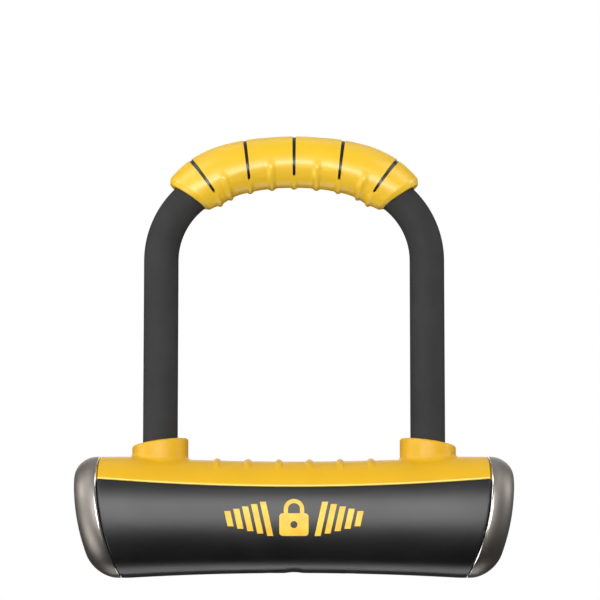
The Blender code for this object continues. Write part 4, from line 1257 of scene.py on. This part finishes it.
def make_mark():
    """A plain padlock sign between slanted bars, printed on the front of the sleeve."""
    shape = bmesh.new()
    for i in range(MARK_BARS):
        start, height = MARK_BAR_START + MARK_BAR_PITCH * i, MARK_BAR_HEIGHT - MARK_BAR_SHRINK * i
        for side in (-1, 1):
            bar_grid(shape, side, start, height)
    lock_body(shape, MARK_Z - LOCK_BODY_DROP)
    lock_bow(shape, MARK_Z + BOW_FOOT)
    for vert in shape.verts:
        x, _, z = vert.co
        angle = front_angle(x, z)
        vert.co = section_point(x, angle) + INK / 2 * section_outward(x, angle)
    mark = mesh_piece("front_mark", shape)
    thick = mark.modifiers.new("ink", "SOLIDIFY")
    thick.thickness = INK * MM
    thick.offset = 1.0
    settle(baked(mark), "crossbar", "yellow_plastic", finish=yellow_print())


def front_angle(x, z):
    """The angle of the front skin at a height."""
    low, high = math.pi / 2, 3 * math.pi / 2
    for _ in range(40):
        middle = (low + high) / 2
        if section_point(x, middle).z > z:
            low = middle
        else:
            high = middle
    return middle


def flat_grid(shape, columns):
    """Quads between columns of flat points of x and z."""
    rows = [[shape.verts.new((x, 0, z)) for x, z in column] for column in columns]
    for a, b in zip(rows, rows[1:]):
        for i in range(len(a) - 1):
            shape.faces.new((a[i], b[i], b[i + 1], a[i + 1]))


def bar_grid(shape, side, start, height):
    """One of the mark's bars, which leans outwards as it rises."""
    columns = []
    for i in range(5):
        column = []
        for k in range(15):
            rise = height * (k / 14 - 0.5)
            x = start + MARK_BAR_WIDTH * i / 4 + MARK_BAR_LEAN * (rise + MARK_BAR_HEIGHT / 2)
            column.append((side * x, MARK_Z + rise))
        columns.append(column)
    flat_grid(shape, columns)


def lock_body(shape, middle):
    """The padlock's body: a rounded block with a round keyhole through it."""
    columns = []
    steps = 72
    for i in range(steps + 1):
        a = 2 * math.pi * i / steps
        c, s = math.cos(a), math.sin(a)
        reach = min(LOCK_HALF_X / max(abs(c), 1e-6), LOCK_HALF_Z / max(abs(s), 1e-6))
        x, z = rounded(c * reach, s * reach, LOCK_HALF_X, LOCK_HALF_Z, LOCK_CORNER)
        inner = Vector((c, s)) * LOCK_KEYHOLE
        column = []
        for k in range(6):
            place = Vector((x, z)).lerp(inner, k / 5)
            column.append((place.x, middle + place.y))
        columns.append(column)
    flat_grid(shape, columns)
    bmesh.ops.remove_doubles(shape, verts=shape.verts, dist=0.001)


def lock_bow(shape, foot):
    """The padlock's bow: two short legs and a half round."""
    radii = (BOW_OUTER, (BOW_OUTER + BOW_INNER) / 2, BOW_INNER)
    top = foot + BOW_LEG
    heights = [foot + BOW_LEG * i / 3 for i in range(3)]
    columns = [[(-radius, z) for radius in radii] for z in heights]
    for i in range(25):
        a = math.pi - math.pi * i / 24
        columns.append([(radius * math.cos(a), top + radius * math.sin(a)) for radius in radii])
    columns += [[(radius, z) for radius in radii] for z in heights[::-1]]
    flat_grid(shape, columns)


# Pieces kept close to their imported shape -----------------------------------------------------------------


def softened(node, body, slot, width):
    """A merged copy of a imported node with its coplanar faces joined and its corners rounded."""
    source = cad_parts[node].data
    shape = bmesh.new()
    shape.from_mesh(source)
    bmesh.ops.remove_doubles(shape, verts=shape.verts, dist=0.000002)
    bmesh.ops.dissolve_limit(
        shape, angle_limit=math.radians(1.0), verts=shape.verts, edges=shape.edges, delimit=set()
    )
    bmesh.ops.scale(shape, vec=(1 / MM, 1 / MM, 1 / MM), verts=shape.verts)
    piece = mesh_piece(f"{node}_finished", shape)
    soft = piece.modifiers.new("softened", "BEVEL")
    soft.width = width * MM
    soft.segments = 3
    soft.limit_method = "ANGLE"
    soft.angle_limit = math.radians(40)
    soft.use_clamp_overlap = True
    settle(baked(piece, sharp=50.0), body, slot, node)


# Stage -------------------------------------------------------------------------------------------------


def floor_finish():
    """A pale floor that shows from above only, and melts into the backdrop further out."""
    finish = Finish("floor", roughness=0.7)
    tone = finish.noise(14, detail=3.0)
    finish.set("Base Color", finish.mix(tone, (0.80, 0.80, 0.79), (0.84, 0.84, 0.83)))
    finish.bump(finish.noise(900, detail=2.0), 0.00002)
    back = finish.node("ShaderNodeNewGeometry")["Backfacing"]
    distance = finish.node("ShaderNodeVectorMath", {"operation": "LENGTH"}, {0: finish.place})["Value"]
    far = distance.step(*FLOOR_FADE)
    clear = finish.node("ShaderNodeBsdfTransparent")
    output = next(n for n in finish.tree.nodes if n.type == "OUTPUT_MATERIAL")
    mixer = finish.node("ShaderNodeMixShader", {}, {0: (back + far).least(1.0)}).socket.node
    finish.tree.links.new(finish.shader.outputs[0], mixer.inputs[1])
    finish.tree.links.new(clear.socket, mixer.inputs[2])
    finish.tree.links.new(mixer.outputs[0], output.inputs["Surface"])
    return finish.material


def make_floor():
    shape = bmesh.new()
    bmesh.ops.create_circle(shape, cap_ends=True, segments=64, radius=FLOOR_RADIUS)
    for face in shape.faces:
        if face.normal.z < 0:
            face.normal_flip()
    mesh = bpy.data.meshes.new("floor")
    shape.to_mesh(mesh)
    shape.free()
    floor = bpy.data.objects.new("floor", mesh)
    floor.location.z = CAD_BOX[0][2] - FLOOR_DROP
    bpy.context.scene.collection.objects.link(floor)
    floor.data.materials.append(floor_finish())
    floor.visible_glossy = False


def make_world():
    """A white backdrop to the camera, and a grey sky that darkens below for everything else."""
    world = bpy.data.worlds.new("studio")
    world.use_nodes = True
    bpy.context.scene.world = world
    sheet = Sheet(world.node_tree)
    sheet.tree.nodes.clear()
    direction = sheet.node("ShaderNodeTexCoord")["Generated"]
    up = sheet.node("ShaderNodeSeparateXYZ", {}, {"Vector": direction})["Z"]
    sky = sheet.mix(up.step(-0.3, 0.5), (0.035, 0.035, 0.035), (0.17, 0.17, 0.175))
    light = sheet.node("ShaderNodeLightPath")["Is Camera Ray"]
    colour = sheet.mix(light, sky, (1.0, 1.0, 1.0))
    shade = sheet.node("ShaderNodeBackground", {}, {"Color": colour})
    sheet.node("ShaderNodeOutputWorld", {}, {"Surface": shade})


def area_light(name, azimuth, elevation, distance, width, height, watts):
    """A soft box that faces the lock. Azimuth 0 is the front and 90 the right."""
    lamp = bpy.data.lights.new(name, "AREA")
    lamp.shape = "RECTANGLE"
    lamp.size = width
    lamp.size_y = height
    lamp.energy = watts
    box = bpy.data.objects.new(name, lamp)
    a, e = math.radians(azimuth), math.radians(elevation)
    way = Vector((math.sin(a) * math.cos(e), -math.cos(a) * math.cos(e), math.sin(e)))
    box.location = Vector(LIGHT_AIM) + distance * way
    box.rotation_euler = way.to_track_quat("Z", "Y").to_euler()
    bpy.context.scene.collection.objects.link(box)


def make_lights():
    area_light("key_box", -8, 6, 1.6, 1.6, 0.30, 16.5)
    area_light("front_fill", 2, 7, 1.9, 2.4, 0.38, 6)
    area_light("overhead", 180, 72, 1.5, 1.6, 1.2, 3.5)
    area_light("left_high", -55, 45, 1.4, 0.5, 0.5, 3)
    area_light("right_high", 55, 45, 1.4, 0.5, 0.5, 2.5)
    area_light("left_wall", -80, 14, 1.3, 0.7, 0.5, 5.5)
    area_light("left_from_below", -75, -32, 1.3, 0.8, 0.9, 7.5)
    area_light("sole_light", 180, -58, 1.3, 1.0, 0.7, 5)
    area_light("right_wall", 92, 16, 1.3, 0.5, 0.6, 4)
    area_light("back_fill", 180, 25, 1.8, 1.6, 0.8, 6)


def make_camera():
    """A long lens a little below the lock, looking up at it."""
    lens = bpy.data.cameras.new("camera")
    lens.sensor_width = 36.0
    lens.lens = lens.sensor_width * CAMERA_DISTANCE / VIEW_WIDTH
    lens.clip_start = 0.01
    camera = bpy.data.objects.new("camera", lens)
    way = Vector((0, -math.cos(CAMERA_ELEVATION), math.sin(CAMERA_ELEVATION)))
    camera.location = Vector(CAMERA_AIM) + CAMERA_DISTANCE * way
    camera.rotation_euler = way.to_track_quat("Z", "Y").to_euler()
    bpy.context.scene.collection.objects.link(camera)
    bpy.context.scene.camera = camera


# The lock ----------------------------------------------------------------------------------------------

for node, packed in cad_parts.items():
    slot = next((slot for word, slot in SLOT_WORDS if node.startswith(word)), "zinc_plated_steel")
    packed.data.materials.clear()
    packed.data.materials.append(FINISHES[slot])

make_top_cover()
make_lower_sleeve()
make_end_cap(-1, "left")
make_end_cap(1, "right")
make_bar()
make_coating()
make_grip()
make_mark()
softened("keyhole_bezel", "crossbar", "black_plastic", 0.3)
softened("dust_cover", "keyhole_cover", "black_plastic", 0.15)
softened("cylinder_plug", "key_plug", "brass", 0.2)

make_floor()
make_world()
make_lights()
make_camera()
bpy.context.scene.view_settings.view_transform = "Standard"
